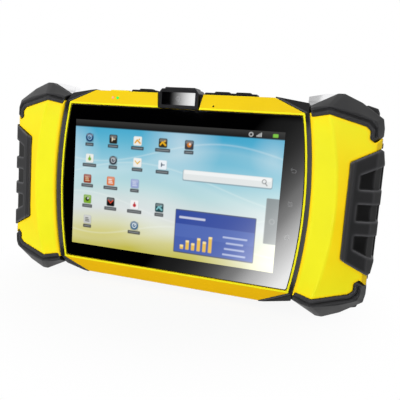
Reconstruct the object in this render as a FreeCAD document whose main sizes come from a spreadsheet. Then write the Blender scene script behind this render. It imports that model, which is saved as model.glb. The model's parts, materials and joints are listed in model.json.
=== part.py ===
"""A rugged seven-inch field data collector: a tablet computer in a two-colour housing with side grips,
rubber corner bumpers, three sprung keys, a hinged port cover and a battery bay behind a locked door.

Every piece is modelled about the middle of the display glass (x to the viewer's right, y away from the
viewer, z up, the glass lying in the plane y = 0). The placement of each piece then carries it to the
frame of the whole part, whose origin is on the ground below the middle of the box round the part.
"""

import FreeCAD
import Part
import math
import os

import Sketcher

Vector = FreeCAD.Vector

# ---------------------------------------------------------------- driving dimensions, in millimetres

SIZES = {
    # the display and its glass, whose sides bow outwards
    "screen_wide": 152.4,
    "screen_tall": 91.44,
    "screen_shift_x": -2.8,
    "screen_shift_z": -0.4,
    "panel_side": 3.8,
    "panel_edge": 2.8,
    "panel_thick": 3.6,
    "glass_border_side": 12.2,
    "glass_bow": 5.2,
    "glass_border_top": 10.48,
    "glass_thick": 1.8,
    "glass_round": 2.0,
    "glass_bevel": 0.35,
    "glass_gap": 0.2,
    "gasket_thick": 0.5,
    "gasket_inset": 0.4,
    "ledge_wide": 1.5,
    # clearances
    "seam": 0.1,
    "fit_gap": 0.3,
    "key_gap": 0.25,
    # the yellow bezel and its sloping facets
    "rim_wide": 1.3,
    "rim_proud": 0.6,
    "facet_end_inset": 18.6,
    "facet_tall": 9.0,
    "facet_setback": 2.4,
    "front_depth": 14.0,
    # the dark strip down each side and its corner patches
    "strip_reach": 4.4,
    "strip_reach_corner": 4.2,
    "strip_over": 0.8,
    "strip_rise": 2.1,
    "strip_rise_corner": 1.8,
    "strip_end_drop": 2.9,
    "strip_end_setback": 4.0,
    "shoulder_drop": 2.2,
    "patch_over": 0.7,
    "patch_band": 1.6,
    "patch_band_rise": 6.0,
    "patch_rise": 1.0,
    # the side grips
    "grip_edge_rise": 3.8,
    "grip_edge_corner": 3.0,
    "grip_edge_round": 0.9,
    "grip_crest_rise": 5.7,
    "grip_lip_wide": 15.6,
    "grip_lip_corner": 12.4,
    "grip_brow_inset": 3.1,
    "grip_brow_y": -0.2,
    "grip_slope_wide": 23.1,
    "grip_side_y": 3.2,
    "grip_over": 0.6,
    "grip_depth": 20.0,
    "grip_wall": 3.0,
    "grip_cavity_start": 8.2,
    "grip_side_wall": 5.5,
    "grip_cavity_y": 4.8,
    # the rubber pads on the grips, with three sunk windows each
    "pad_start": 6.1,
    "pad_inner_drop": 9.0,
    "pad_end_inset": 2.9,
    "pad_end_gap": 3.4,
    "pad_taper": 1.2,
    "pad_taper_drop": 1.1,
    "pad_side_drop": 8.4,
    "pad_foot_y": -4.4,
    "pad_bevel": 2.7,
    "pad_crest_y": -5.6,
    "pad_brow_inset": 4.3,
    "pad_brow_y": -0.9,
    "pad_proud": 2.7,
    "pad_side_y": 5.0,
    "pad_thick": 2.7,
    "window_half_tall": 5.1,
    "window_outer_low": 14.2,
    "window_outer_high": 22.4,
    "window_slant": 0.49,
    "window_step": 6.2,
    "window_deep": 1.5,
    "window_back": 15.5,
    # the corner bumpers
    "bumper_front": 6.3,
    "bumper_full": 4.0,
    "bumper_taper": 28.0,
    "bumper_back": 32.0,
    "bumper_over": 4.3,
    "bumper_peak_step": 4.9,
    "bumper_foot_half": 2.0,
    "bumper_tip_step": 1.8,
    "bumper_tip_drop": 2.1,
    "bumper_tip_rise": 5.1,
    "bumper_tip_lean": 2.4,
    "bumper_facet_tall": 13.2,
    "bumper_band": 4.6,
    "bumper_bend_inset": 9.9,
    "bumper_bend_fall": 6.0,
    "bumper_bend_drop": 2.6,
    "bumper_side_inset": 7.3,
    "bumper_side_fall": 13.2,
    "bumper_end_inset": 4.3,
    "bumper_end_fall": 15.5,
    "bumper_proud": 0.3,
    "bumper_outer_fall": 11.3,
    "bumper_rear_inset": 2.6,
    "bumper_outer_slope": 0.19,
    "bumper_inner_slope": 0.38,
    "rib_front": 12.0,
    "rib_back": 20.0,
    "rib_start_inset": 10.8,
    "rib_start_drop": 5.7,
    "rib_end_inset": 4.5,
    "rib_end_drop": 7.6,
    "rib_side_inset": 3.3,
    "rib_side_drop": 10.3,
    # the metal strap brackets behind the top bumpers
    "bracket_step": 4.2,
    "bracket_long": 16.0,
    "bracket_front": 6.5,
    "bracket_back": 13.5,
    "bracket_drop": 6.3,
    "bracket_low_drop": 2.4,
    "bracket_flat": 5.5,
    "bracket_high_drop": 0.3,
    "bracket_sheet": 1.5,
    # the camera pod over the glass
    "pod_half_wide": 14.3,
    "pod_proud": 1.5,
    "pod_step": 0.4,
    "pod_over": 2.8,
    "pod_chamfer_x": 2.1,
    "pod_chamfer_z": 2.7,
    "pod_flare_low": 14.8,
    "pod_flare_high": 16.6,
    "pod_flank_y": 1.9,
    "hood_half_wide": 11.5,
    "hood_over": 1.2,
    "hood_front": 1.0,
    "hood_back": 12.0,
    "hood_slope": 0.8,
    "window_wide": 24.0,
    "window_sill": 2.1,
    "window_head": 2.3,
    "window_recess": 0.9,
    "window_plate": 0.7,
    "camera_cell": 7.6,
    "camera_deep": 8.8,
    "camera_lens": 2.2,
    "camera_body_y": 1.6,
    # the top keys and the black strips that hold them
    "strip_front": 3.2,
    "strip_back": 9.2,
    "key_strip_over": 1.6,
    "key_strip_drop": 3.0,
    "power_strip_left": -37.0,
    "power_strip_right": -17.8,
    "volume_strip_left": 16.95,
    "volume_strip_right": 52.7,
    "power_key_x": -26.3,
    "volume_up_x": 28.7,
    "volume_down_x": 43.2,
    "key_half_wide": 5.0,
    "key_half_deep": 2.2,
    "key_proud": 0.9,
    "key_flange": 0.7,
    "key_flange_thick": 1.0,
    "key_stem": 1.5,
    "key_travel": 0.6,
    "switch_half_wide": 3.0,
    "switch_half_deep": 1.9,
    "switch_thick": 1.6,
    "key_well_deep": 8.3,
    "key_ledge_x": 1.5,
    "key_ledge_y": 0.5,
    # the hinged port cover on the top edge and the socket below it
    "port_left": -54.5,
    "port_right": -39.4,
    "port_front": 4.0,
    "port_drop": 1.4,
    "port_proud": 0.9,
    "port_hinge_y": 12.6,
    "port_hinge_drop": 0.1,
    "port_barrel": 1.1,
    "port_pin": 0.5,
    "port_pin_gap": 0.06,
    "port_ear": 1.6,
    "socket_x": -46.9,
    "socket_y": 7.6,
    "socket_wide": 8.0,
    "socket_deep": 2.8,
    "socket_long": 5.9,
    "socket_sheet": 0.35,
    "tongue_wide": 5.0,
    "tongue_deep": 0.7,
    # status lights and microphone on the top facet
    "light_charge_x": -50.2,
    "light_power_x": -46.5,
    "light_rise": 4.1,
    "light_bore": 0.95,
    "light_long": 3.4,
    "mic_x": 24.6,
    "mic_rise": 1.5,
    "mic_bore": 0.6,
    "mic_deep": 3.0,
    # the docking connector in the bottom edge
    "dock_half_wide": 14.0,
    "dock_front": 4.0,
    "dock_back": 10.0,
    "dock_deep": 4.7,
    "dock_pad_wide": 1.6,
    "dock_pad_deep": 3.0,
    "dock_pad_proud": 0.3,
    "dock_pitch": 3.0,
    "dock_count": 8,
    # the frame, the main board and what is on it
    "frame_gap": 0.3,
    "frame_thick": 1.5,
    "standoff_tall": 2.0,
    "standoff_wide": 2.6,
    "standoff_inset_x": 8.0,
    "standoff_inset_z": 6.0,
    "board_inset": 0.2,
    "board_over": 2.28,
    "board_thick": 1.6,
    "can_tall": 2.2,
    "board_screw": 1.0,
    "board_screw_head": 2.2,
    "board_screw_head_tall": 1.3,
    "antenna_side": 22.0,
    "antenna_tall": 4.0,
    "antenna_inset": 12.5,
    "antenna_z": 16.0,
    "flex_wide": 11.0,
    "flex_tall": 46.0,
    "flex_thick": 0.8,
    "speaker_inset": 14.0,
    "speaker_z": 0.0,
    "speaker_wide": 20.0,
    "speaker_tall": 30.0,
    "speaker_thick": 5.0,
    # the rear housing with its battery bay
    "back_plane": 30.0,
    "back_wall": 3.0,
    "back_inset": 1.5,
    "back_corner_over": 0.2,
    "back_chamfer": 2.2,
    "seal_inset": 0.5,
    "seal_wide": 1.2,
    "seal_deep": 0.9,
    "bay_half_wide": 44.5,
    "bay_half_tall": 27.5,
    "bay_wall": 6.0,
    "bay_floor": 15.5,
    "door_lap_x": 11.5,
    "door_lap_z": 3.5,
    "door_round": 4.0,
    "door_thick": 2.3,
    "door_seal": 0.5,
    "door_seal_wide": 1.6,
    "door_seal_inset": 1.0,
    "grip_groove_wide": 34.0,
    "grip_groove_tall": 1.6,
    "grip_groove_deep": 0.8,
    "grip_groove_pitch": 4.0,
    "lock_step": 6.1,
    "lock_head": 4.0,
    "lock_head_thick": 1.5,
    "lock_stem": 1.8,
    "lock_long": 9.0,
    "lock_slot_wide": 1.2,
    "lock_slot_deep": 0.9,
    "lock_slot_long": 6.0,
    "contact_half_wide": 8.0,
    "contact_inset": 4.5,
    "contact_half_tall": 2.0,
    # the mounting pattern, screws, rear camera and speaker slots
    "insert_pitch": 75.0,
    "insert_bore": 1.65,
    "insert_radius": 2.75,
    "insert_long": 6.0,
    "insert_boss": 4.4,
    "screw_head": 2.5,
    "screw_head_tall": 1.5,
    "screw_shank": 1.25,
    "screw_tip_y": 11.0,
    "screw_sink": 0.1,
    "screw_outer_x": 58.0,
    "screw_inner_x": 28.0,
    "screw_row_inset": 5.5,
    "screw_wing_inset": 4.4,
    "screw_wing_z": 38.0,
    "side_screw_y": 9.0,
    "side_screw_drop": 1.3,
    "side_screw_head": 1.6,
    "side_screw_proud": 0.6,
    "side_screw_shank": 0.9,
    "side_screw_long": 3.4,
    "rear_camera_inset": 16.4,
    "rear_camera_drop": 10.2,
    "rear_lens": 4.2,
    "rear_window": 6.2,
    "rear_window_thick": 0.9,
    "rear_cell": 9.0,
    "rear_cell_deep": 5.0,
    "flash_step": 13.0,
    "flash_radius": 2.0,
    "slot_wide": 16.0,
    "slot_tall": 1.2,
    "slot_pitch": 3.0,
}

doc = FreeCAD.newDocument("data_collector")
sheet = doc.addObject("Spreadsheet::Sheet", "Sizes")
for row, (word, number) in enumerate(SIZES.items(), 1):
    sheet.set(f"A{row}", word)
    sheet.set(f"B{row}", str(number))
    sheet.setAlias(f"B{row}", word)
doc.recompute()


# ---------------------------------------------------------------- formulas on the sheet


class Formula:
    """A length worked out from the sheet: its number now, and the expression that keeps it current."""

    def __init__(self, value, text):
        self.value = value
        self.text = text

    def join(self, sign, other, value):
        return Formula(value, f"({self.text} {sign} {other.text})")

    def __add__(self, other):
        other = formula(other)
        return self.join("+", other, self.value + other.value)

    def __sub__(self, other):
        other = formula(other)
        return self.join("-", other, self.value - other.value)

    def __mul__(self, other):
        other = formula(other)
        return self.join("*", other, self.value * other.value)

    def __truediv__(self, other):
        other = formula(other)
        return self.join("/", other, self.value / other.value)

    def __radd__(self, other):
        return formula(other) + self

    def __rsub__(self, other):
        return formula(other) - self

    def __rmul__(self, other):
        return formula(other) * self

    def __neg__(self):
        return Formula(-self.value, f"(0 - {self.text})")


def formula(number):
    """Let a plain number stand in a formula."""
    if isinstance(number, Formula):
        return number
    return Formula(float(number), repr(float(number)))


def root(number):
    """The square root of a formula."""
    return Formula(math.sqrt(number.value), f"sqrt({number.text})")


class Sheet:
    """Each size by its name, as a formula."""

    def __getattr__(self, word):
        return Formula(float(sheet.get(word)), f"Sizes.{word}")


S = Sheet()


# ---------------------------------------------------------------- sketches and features

PLANES = {"front": "XZ_Plane", "top": "XY_Plane", "side": "YZ_Plane"}


def new_body(label):
    """An empty body, named for the piece that it becomes."""
    body = doc.addObject("PartDesign::Body", label)
    body.Label = label
    return body


def blank_sketch(body, plane, level):
    """A sketch on one of the body's own origin planes, moved along the third axis to level.

    The front plane's sketches hold (x, z) and lie at y = level, the top plane's hold (x, y) and lie at
    z = level, and the side plane's hold (y, z) and lie at x = level.
    """
    support = [o for o in body.Origin.OriginFeatures if o.Role == PLANES[plane]][0]
    sketch = body.newObject("Sketcher::SketchObject", f"{body.Name}_outline")
    sketch.AttachmentSupport = [(support, "")]
    sketch.MapMode = "FlatFace"
    level = formula(level)
    if plane == "front":
        level = -level
    sketch.AttachmentOffset = FreeCAD.Placement(Vector(0, 0, level.value), FreeCAD.Rotation())
    sketch.setExpression("AttachmentOffset.Base.z", level.text)
    return sketch


def pin(sketch, kind, geometry, point, number):
    """Fix one coordinate of a point of the sketch by an expression."""
    number = formula(number)
    index = sketch.addConstraint(Sketcher.Constraint(kind, -1, 1, geometry, point, number.value))
    sketch.setExpression(f"Constraints[{index}]", number.text)


def edge_arc(start, end, radius):
    """The arc of the given radius that runs counter-clockwise from start to end, under half a turn."""
    chord = end - start
    half = chord.Length / 2
    left = Vector(-chord.y, chord.x, 0).normalize()
    centre = start + chord / 2 + left * math.sqrt(radius * radius - half * half)
    first = math.atan2(start.y - centre.y, start.x - centre.x)
    last = math.atan2(end.y - centre.y, end.x - centre.x)
    if last < first:
        last += 2 * math.pi
    return Part.ArcOfCircle(Part.Circle(centre, Vector(0, 0, 1), radius), first, last)


def outline(body, plane, level, corners):
    """A closed outline through its corners, each (across, up) or (across, up, radius).

    A radius turns the edge that leaves its corner into an arc, which bulges out of the outline where the
    radius is positive and into it where it is negative.
    """
    sketch = blank_sketch(body, plane, level)
    points = [Vector(formula(c[0]).value, formula(c[1]).value, 0) for c in corners]
    following = points[1:] + points[:1]
    area = sum(a.x * b.y - b.x * a.y for a, b in zip(points, following))
    starts = []
    ends = []
    for index, (here, there) in enumerate(zip(points, following)):
        corner = corners[index]
        if len(corner) == 2:
            sketch.addGeometry(Part.LineSegment(here, there))
            starts.append(1)
            ends.append(2)
            continue
        radius = formula(corner[2])
        forwards = (radius.value > 0) == (area > 0)
        first, last = (here, there) if forwards else (there, here)
        sketch.addGeometry(edge_arc(first, last, abs(radius.value)))
        starts.append(1 if forwards else 2)
        ends.append(2 if forwards else 1)
    count = len(corners)
    for index in range(count):
        after = (index + 1) % count
        sketch.addConstraint(Sketcher.Constraint("Coincident", index, ends[index], after, starts[after]))
    for index, corner in enumerate(corners):
        pin(sketch, "DistanceX", index, starts[index], corner[0])
        pin(sketch, "DistanceY", index, starts[index], corner[1])
        if len(corner) == 3:
            size = formula(corner[2])
            if size.value < 0:
                size = -size
            place = sketch.addConstraint(Sketcher.Constraint("Radius", index, size.value))
            sketch.setExpression(f"Constraints[{place}]", size.text)
    return sketch


def circles(body, plane, level, centres, radius):
    """One sketch of equal circles."""
    sketch = blank_sketch(body, plane, level)
    radius = formula(radius)
    for index, (across, up) in enumerate(centres):
        centre = Vector(formula(across).value, formula(up).value, 0)
        sketch.addGeometry(Part.Circle(centre, Vector(0, 0, 1), radius.value))
        pin(sketch, "DistanceX", index, 3, across)
        pin(sketch, "DistanceY", index, 3, up)
        place = sketch.addConstraint(Sketcher.Constraint("Radius", index, radius.value))
        sketch.setExpression(f"Constraints[{place}]", radius.text)
    return sketch


def rectangle(left, right, low, high):
    """The four corners of a rectangle."""
    return [(left, low), (right, low), (right, high), (left, high)]


def set_length(feature, start, end):
    """Let a pad or pocket run from its sketch's level, start, to end."""
    length = formula(end) - start
    feature.Length = length.value
    feature.setExpression("Length", length.text)


def add(body, plane, start, end, shape, radius=None):
    """Pad an outline, or circles where a radius is given, from one level up to a higher one."""
    if radius is None:
        sketch = outline(body, plane, start, shape)
    else:
        sketch = circles(body, plane, start, shape, radius)
    pad = body.newObject("PartDesign::Pad", f"{body.Name}_pad")
    pad.Profile = sketch
    pad.Reversed = plane == "front"
    set_length(pad, start, end)
    return pad


def cut(body, plane, start, end, shape, radius=None):
    """Pocket an outline, or circles where a radius is given, from one level up to a higher one."""
    if radius is None:
        sketch = outline(body, plane, start, shape)
    else:
        sketch = circles(body, plane, start, shape, radius)
    pocket = body.newObject("PartDesign::Pocket", f"{body.Name}_pocket")
    pocket.Profile = sketch
    pocket.Reversed = plane != "front"
    set_length(pocket, start, end)
    return pocket


def loft(body, sections, kind="PartDesign::AdditiveLoft", ruled=True):
    """A loft through a list of sketches, straight from each to the next or smooth through all."""
    feature = body.newObject(kind, f"{body.Name}_loft")
    feature.Profile = sections[0]
    feature.Sections = sections[1:]
    feature.Ruled = ruled
    return feature


def edges_where(shape, test):
    """The names of a shape's edges that pass a test on their middle point and direction."""
    names = []
    for index, edge in enumerate(shape.Edges, 1):
        middle = edge.valueAt((edge.FirstParameter + edge.LastParameter) / 2)
        along = (edge.lastVertex().Point - edge.firstVertex().Point)
        if along.Length > 0 and test(middle, along.normalize(), edge):
            names.append(f"Edge{index}")
    return names


def soften(body, kind, size, test):
    """Fillet or chamfer the edges of a body's last feature that pass a test."""
    doc.recompute()
    base = body.Tip
    feature = body.newObject(f"PartDesign::{kind}", f"{body.Name}_{kind.lower()}")
    feature.Base = (base, edges_where(base.Shape, test))
    size = formula(size)
    name = "Radius" if kind == "Fillet" else "Size"
    setattr(feature, name, size.value)
    feature.setExpression(name, size.text)
    return feature


def place(piece):
    """Carry a piece from the glass's own axes to the frame of the whole part."""
    piece.setExpression("Placement.Base.y", ((S.bumper_front - S.bumper_back) / 2).text)
    piece.setExpression("Placement.Base.z", BUMPER_REACH.text)
    return piece


def boolean(kind, label, base, tool):
    """Cut one object by another, or fuse them, as a piece of its own."""
    result = doc.addObject(f"Part::{kind}", label)
    result.Label = label
    result.Base = base
    result.Tool = tool
    return result


def mirrored(label, source, across="x"):
    """The same piece for the other side, or for the lower edge, of the part."""
    twin = doc.addObject("Part::Mirroring", label)
    twin.Label = label
    twin.Source = source
    if across == "x":
        twin.Normal = Vector(1, 0, 0)
    else:
        twin.Normal = Vector(0, 0, 1)
        twin.setExpression("Base.z", BUMPER_REACH.text)
    return twin


PIECES = []


def keep(*pieces):
    """Note the finished pieces, which are written out at the end."""
    PIECES.extend(pieces)


# ---------------------------------------------------------------- shared outlines


def bow(middle, corner, tall):
    """Radius and centre of a side that bows out from corner to middle over half its height."""
    rise = middle - corner
    radius = (tall * tall + rise * rise) / (rise * 2)
    return radius, middle - radius


def eased(middle, corner, height):
    """A size that eases from its value at mid-height to its value at the corners."""
    part = height / STRIP_TALL
    return middle - (middle - corner) * part * part


# The outlines grow outwards from the screen: glass, rim, strip, grip, pad and bumper sideways, and glass,
# facet, bumper, pod, keys and port upwards.
GLASS_MIDDLE = S.screen_wide / 2 + S.glass_border_side
GLASS_CORNER = GLASS_MIDDLE - S.glass_bow
GLASS_TALL = S.screen_tall / 2 + S.glass_border_top
RIM = S.glass_gap + S.rim_wide
RIM_FRONT = -S.rim_proud
FACET_FOOT = GLASS_TALL + RIM
BODY_TALL = FACET_FOOT + S.facet_tall
FACET_END = GLASS_CORNER - S.facet_end_inset
STRIP_MIDDLE = GLASS_MIDDLE + S.strip_reach
STRIP_CORNER = GLASS_CORNER + S.strip_reach_corner
STRIP_TALL = GLASS_TALL + S.strip_over
STRIP_END = BODY_TALL - S.strip_end_drop
SHOULDER_TALL = BODY_TALL - S.shoulder_drop
PATCH_TOP = BODY_TALL + S.patch_over
CREST_MIDDLE = STRIP_MIDDLE + S.grip_lip_wide
CREST_CORNER = STRIP_CORNER + S.grip_lip_corner
GRIP_SIDE = CREST_MIDDLE + S.grip_slope_wide
GRIP_BROW = GRIP_SIDE - S.grip_brow_inset
CAVITY_INNER = STRIP_MIDDLE + S.grip_cavity_start
CAVITY_OUTER = GRIP_SIDE - S.grip_side_wall
PAD_SIDE = GRIP_SIDE + S.pad_proud
PAD_INNER = CREST_MIDDLE + S.pad_start
PAD_END = PAD_SIDE - S.pad_end_inset
PAD_BROW = PAD_SIDE - S.pad_brow_inset
WINDOW_START = PAD_INNER + S.window_step
BUMPER_REACH = BODY_TALL + S.bumper_over
BUMPER_LIP = BUMPER_REACH - S.bumper_facet_tall
BUMPER_PEAK = CREST_CORNER + S.bumper_peak_step
BUMPER_TIP = STRIP_CORNER + S.bumper_tip_step
BUMPER_TIP_LOW = BUMPER_LIP - S.bumper_tip_drop
BUMPER_TIP_HIGH = BUMPER_LIP + S.bumper_tip_rise
BUMPER_BEND = GRIP_SIDE - S.bumper_bend_inset
BUMPER_BEND_Z = BUMPER_LIP - S.bumper_bend_fall
BUMPER_SIDE = GRIP_SIDE - S.bumper_side_inset
BUMPER_SIDE_Z = BUMPER_LIP - S.bumper_side_fall
BUMPER_END = GRIP_SIDE - S.bumper_end_inset
BUMPER_END_Z = BUMPER_LIP - S.bumper_end_fall
BUMPER_OUTER = GRIP_SIDE + S.bumper_proud
BUMPER_OUTER_Z = BUMPER_LIP - S.bumper_outer_fall
RIB_START = GRIP_SIDE - S.rib_start_inset
RIB_START_Z = BUMPER_REACH - S.rib_start_drop
RIB_END = GRIP_SIDE - S.rib_end_inset
RIB_END_Z = BUMPER_REACH - S.rib_end_drop
RIB_SIDE = GRIP_SIDE - S.rib_side_inset
RIB_SIDE_Z = BUMPER_REACH - S.rib_side_drop
PAD_TALL = BUMPER_END_Z - S.pad_end_gap
PAD_TAPER_TALL = PAD_TALL - S.pad_taper_drop
PAD_SIDE_TALL = PAD_TALL - S.pad_side_drop
PAD_INNER_TALL = PAD_TALL - S.pad_inner_drop
GRIP_TALL = BUMPER_LIP + S.grip_over
BRACKET_INNER = BUMPER_TIP - S.bracket_step
BRACKET_OUTER = BRACKET_INNER + S.bracket_long
BRACKET_BEND = BRACKET_OUTER - S.bracket_flat
BRACKET_FOOT = BUMPER_REACH - S.bracket_drop
BRACKET_LOW = BUMPER_REACH - S.bracket_low_drop
BRACKET_HIGH = BUMPER_REACH - S.bracket_high_drop
POD_FOOT = GLASS_TALL + S.pod_step
POD_TOP = BODY_TALL + S.pod_over
HOOD_TOP = POD_TOP + S.hood_over
WINDOW_LOW = POD_FOOT + S.window_sill
WINDOW_HIGH = POD_TOP - S.window_head
KEY_STRIP_TOP = BODY_TALL + S.key_strip_over
KEY_STRIP_FLOOR = BODY_TALL - S.key_strip_drop
KEY_TOP = KEY_STRIP_TOP + S.key_proud
WELL_FLOOR = BODY_TALL - S.key_well_deep
PORT_FLOOR = BODY_TALL - S.port_drop
PORT_TOP = BODY_TALL + S.port_proud
PORT_HINGE_Z = BODY_TALL - S.port_hinge_drop
SOCKET_FLOOR = PORT_FLOOR - S.socket_long
LIGHT_Z = FACET_FOOT + S.light_rise
MIC_Z = FACET_FOOT + S.mic_rise
DOCK_INNER = BODY_TALL - S.dock_deep
ANTENNA_X = S.antenna_inset - CAVITY_OUTER
SPEAKER_X = CAVITY_OUTER - S.speaker_inset
BACK_SIDE = GRIP_SIDE - S.back_inset
BACK_CORNER_TALL = BUMPER_LIP + S.back_corner_over
WING_SCREW_X = CAVITY_INNER - S.screw_wing_inset
ROW_SCREW_Z = BODY_TALL - S.screw_row_inset
BOARD_WIDE = S.screen_wide / 2 - S.board_inset
BOARD_TALL = S.screen_tall / 2 + S.board_over
STANDOFF_X = BOARD_WIDE - S.standoff_inset_x
STANDOFF_Z = BOARD_TALL - S.standoff_inset_z
SIDE_SCREW_Z = BUMPER_END_Z - S.side_screw_drop
REAR_CAMERA_X = S.rear_camera_inset - GLASS_MIDDLE
REAR_CAMERA_Z = GLASS_TALL - S.rear_camera_drop
FLASH_X = REAR_CAMERA_X + S.flash_step
DOOR_WIDE = S.bay_half_wide + S.door_lap_x
DOOR_TALL = S.bay_half_tall + S.door_lap_z
LOCK_X = S.bay_half_wide + S.lock_step
CONTACT_Z = S.contact_inset - S.bay_half_tall

GLASS_RADIUS, GLASS_CENTRE = bow(GLASS_MIDDLE, GLASS_CORNER, GLASS_TALL)
STRIP_RADIUS, STRIP_CENTRE = bow(STRIP_MIDDLE, STRIP_CORNER, STRIP_TALL)
CREST_RADIUS, CREST_CENTRE = bow(CREST_MIDDLE, CREST_CORNER, BUMPER_LIP)


def bowed_x(radius, centre, height):
    """Where a bowed side stands at a height."""
    return centre + root(radius * radius - height * height)


def arched(offset, tall):
    """The glass's outline grown by offset at its sides, with straight edges at plus and minus tall."""
    radius = GLASS_RADIUS + offset
    reach = bowed_x(radius, GLASS_CENTRE, tall)
    return [(-reach, -tall), (reach, -tall, radius), (reach, tall), (-reach, tall, radius)]


FACET_TOP_Y = RIM_FRONT + S.facet_setback
RIM_CORNER = bowed_x(GLASS_RADIUS + RIM, GLASS_CENTRE, FACET_FOOT)
SEAT = S.glass_thick + S.gasket_thick
OPENING = arched(-S.ledge_wide, GLASS_TALL - S.ledge_wide)


def facet_y(height):
    """How far back the sloping facet lies at a height."""
    run = BODY_TALL - FACET_FOOT
    return RIM_FRONT + S.facet_setback * (height - FACET_FOOT) / run


def is_corner(middle, along, edge):
    """An edge that runs straight back, as the corners of a flat outline do."""
    return abs(along.y) > 0.99


# ---------------------------------------------------------------- display: glass, gasket, panel


def make_cover_glass():
    """A flat sheet of glass with bowed sides, small round corners and a polished bevel."""
    body = new_body("cover_glass")
    add(body, "front", 0, S.glass_thick, arched(0, GLASS_TALL))
    soften(body, "Fillet", S.glass_round, is_corner)
    soften(body, "Chamfer", S.glass_bevel, lambda m, a, e: abs(m.y) < 0.01)
    return place(body)


def make_glass_gasket():
    """The foam ring that beds the glass on its ledge."""
    body = new_body("glass_gasket")
    inset = S.gasket_inset
    add(body, "front", S.glass_thick, SEAT, arched(-inset, GLASS_TALL - inset))
    cut(body, "front", S.glass_thick, SEAT, OPENING)
    return place(body)


def make_lcd_panel():
    """The display module, bonded to the back of the glass."""
    body = new_body("lcd_panel")
    half_wide = S.screen_wide / 2 + S.panel_side
    half_tall = S.screen_tall / 2 + S.panel_edge
    left = S.screen_shift_x - half_wide
    right = S.screen_shift_x + half_wide
    low = S.screen_shift_z - half_tall
    high = S.screen_shift_z + half_tall
    add(body, "front", S.glass_thick, S.glass_thick + S.panel_thick, rectangle(left, right, low, high))
    return place(body)


# ---------------------------------------------------------------- front housing and its overmould


def key_strip_span(side):
    """Left and right end of the key strip on one side of the camera."""
    if side == "power":
        return S.power_strip_left, S.power_strip_right
    return S.volume_strip_left, S.volume_strip_right


def make_front_housing():
    """The yellow bezel: a rim round the glass, a sloping facet above and below it, a solid bar behind
    each facet with the wells for the camera, the keys, the port and the dock, and a ledge for the glass."""
    body = new_body("front_housing")
    half, top = FACET_END, BODY_TALL
    side = GLASS_RADIUS + RIM
    add(body, "front", RIM_FRONT, S.front_depth, [
        (RIM_CORNER, -FACET_FOOT, side), (RIM_CORNER, FACET_FOOT), (half, top), (-half, top),
        (-RIM_CORNER, FACET_FOOT, side), (-RIM_CORNER, -FACET_FOOT), (-half, -top), (half, -top)])
    beyond = 2.0
    for way in (1, -1):
        cut(body, "side", -GLASS_MIDDLE, GLASS_MIDDLE, [
            (RIM_FRONT - beyond, FACET_FOOT * way), (RIM_FRONT, FACET_FOOT * way), (FACET_TOP_Y, top * way),
            (FACET_TOP_Y, (top + beyond) * way), (RIM_FRONT - beyond, (top + beyond) * way)])
    cut(body, "front", RIM_FRONT - beyond, SEAT, arched(S.glass_gap, GLASS_TALL + S.glass_gap))
    cut(body, "front", SEAT, S.front_depth, OPENING)
    low, high = S.pod_flare_low, S.pod_flare_high
    cut(body, "front", RIM_FRONT - beyond, S.front_depth, [
        (-low, POD_FOOT - S.glass_gap), (low, POD_FOOT - S.glass_gap), (high, top + S.seam), (-high, top + S.seam)])
    for strip in ("power", "volume"):
        left, right = key_strip_span(strip)
        cut(body, "top", KEY_STRIP_FLOOR, top + beyond,
            rectangle(left - S.seam, right + S.seam, S.strip_front - S.seam, S.strip_back + S.seam))
        cut(body, "top", WELL_FLOOR, KEY_STRIP_FLOOR,
            rectangle(left + S.key_ledge_x, right - S.key_ledge_x,
                      S.strip_front + S.key_ledge_y, S.strip_back - S.key_ledge_y))
    cut(body, "top", PORT_FLOOR, top + beyond,
        rectangle(S.port_left, S.port_right, S.port_front, S.port_hinge_y + S.port_barrel + S.fit_gap))
    ear_left, ear_right = S.port_left - S.port_ear, S.port_right + S.port_ear
    cut(body, "side", ear_left, ear_right, [(S.port_hinge_y, PORT_HINGE_Z)], S.port_pin + S.seam / 2)
    half_wide, half_deep = S.socket_wide / 2 + S.seam, S.socket_deep / 2 + S.seam
    cut(body, "top", SOCKET_FLOOR, PORT_FLOOR,
        rectangle(S.socket_x - half_wide, S.socket_x + half_wide, S.socket_y - half_deep, S.socket_y + half_deep))
    lights = [(S.light_charge_x, LIGHT_Z), (S.light_power_x, LIGHT_Z)]
    cut(body, "front", RIM_FRONT - beyond, facet_y(LIGHT_Z) + S.light_long, lights, S.light_bore)
    cut(body, "front", RIM_FRONT - beyond, S.mic_deep, [(S.mic_x, MIC_Z)], S.mic_bore)
    cut(body, "top", -top - beyond, -DOCK_INNER,
        rectangle(-S.dock_half_wide - S.seam, S.dock_half_wide + S.seam,
                  S.dock_front - S.seam, S.dock_back + S.seam))
    rows = [(x * w, ROW_SCREW_Z * v) for x in (S.screw_outer_x, S.screw_inner_x) for w in (1, -1) for v in (1, -1)]
    cut(body, "front", S.screw_tip_y - S.seam, S.front_depth, rows, S.screw_shank + S.seam)
    return place(body)


def patch_cut(body, rise, lift, back):
    """Cut the corner patches, above and below, along a plane that leaves the facet's slanted end.

    The plane climbs by rise for each millimetre it goes back, and starts lift above the slanted end.
    """
    run = RIM_CORNER - FACET_END
    fall = (FACET_FOOT - BODY_TALL + S.facet_setback * rise) / run
    left, right = FACET_END - 8, STRIP_MIDDLE + 8
    far = BODY_TALL * 1.5
    for way in (1, -1):
        sections = []
        for level in (-S.strip_rise, formula(back)):
            climb = BODY_TALL + lift + (level - FACET_TOP_Y) * rise
            low_left = climb + fall * (left - FACET_END)
            low_right = climb + fall * (right - FACET_END)
            sections.append(outline(body, "front", level, [
                (left, low_left * way), (right, low_right * way), (right, far * way), (left, far * way)]))
        loft(body, sections, "PartDesign::SubtractiveLoft")


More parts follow.
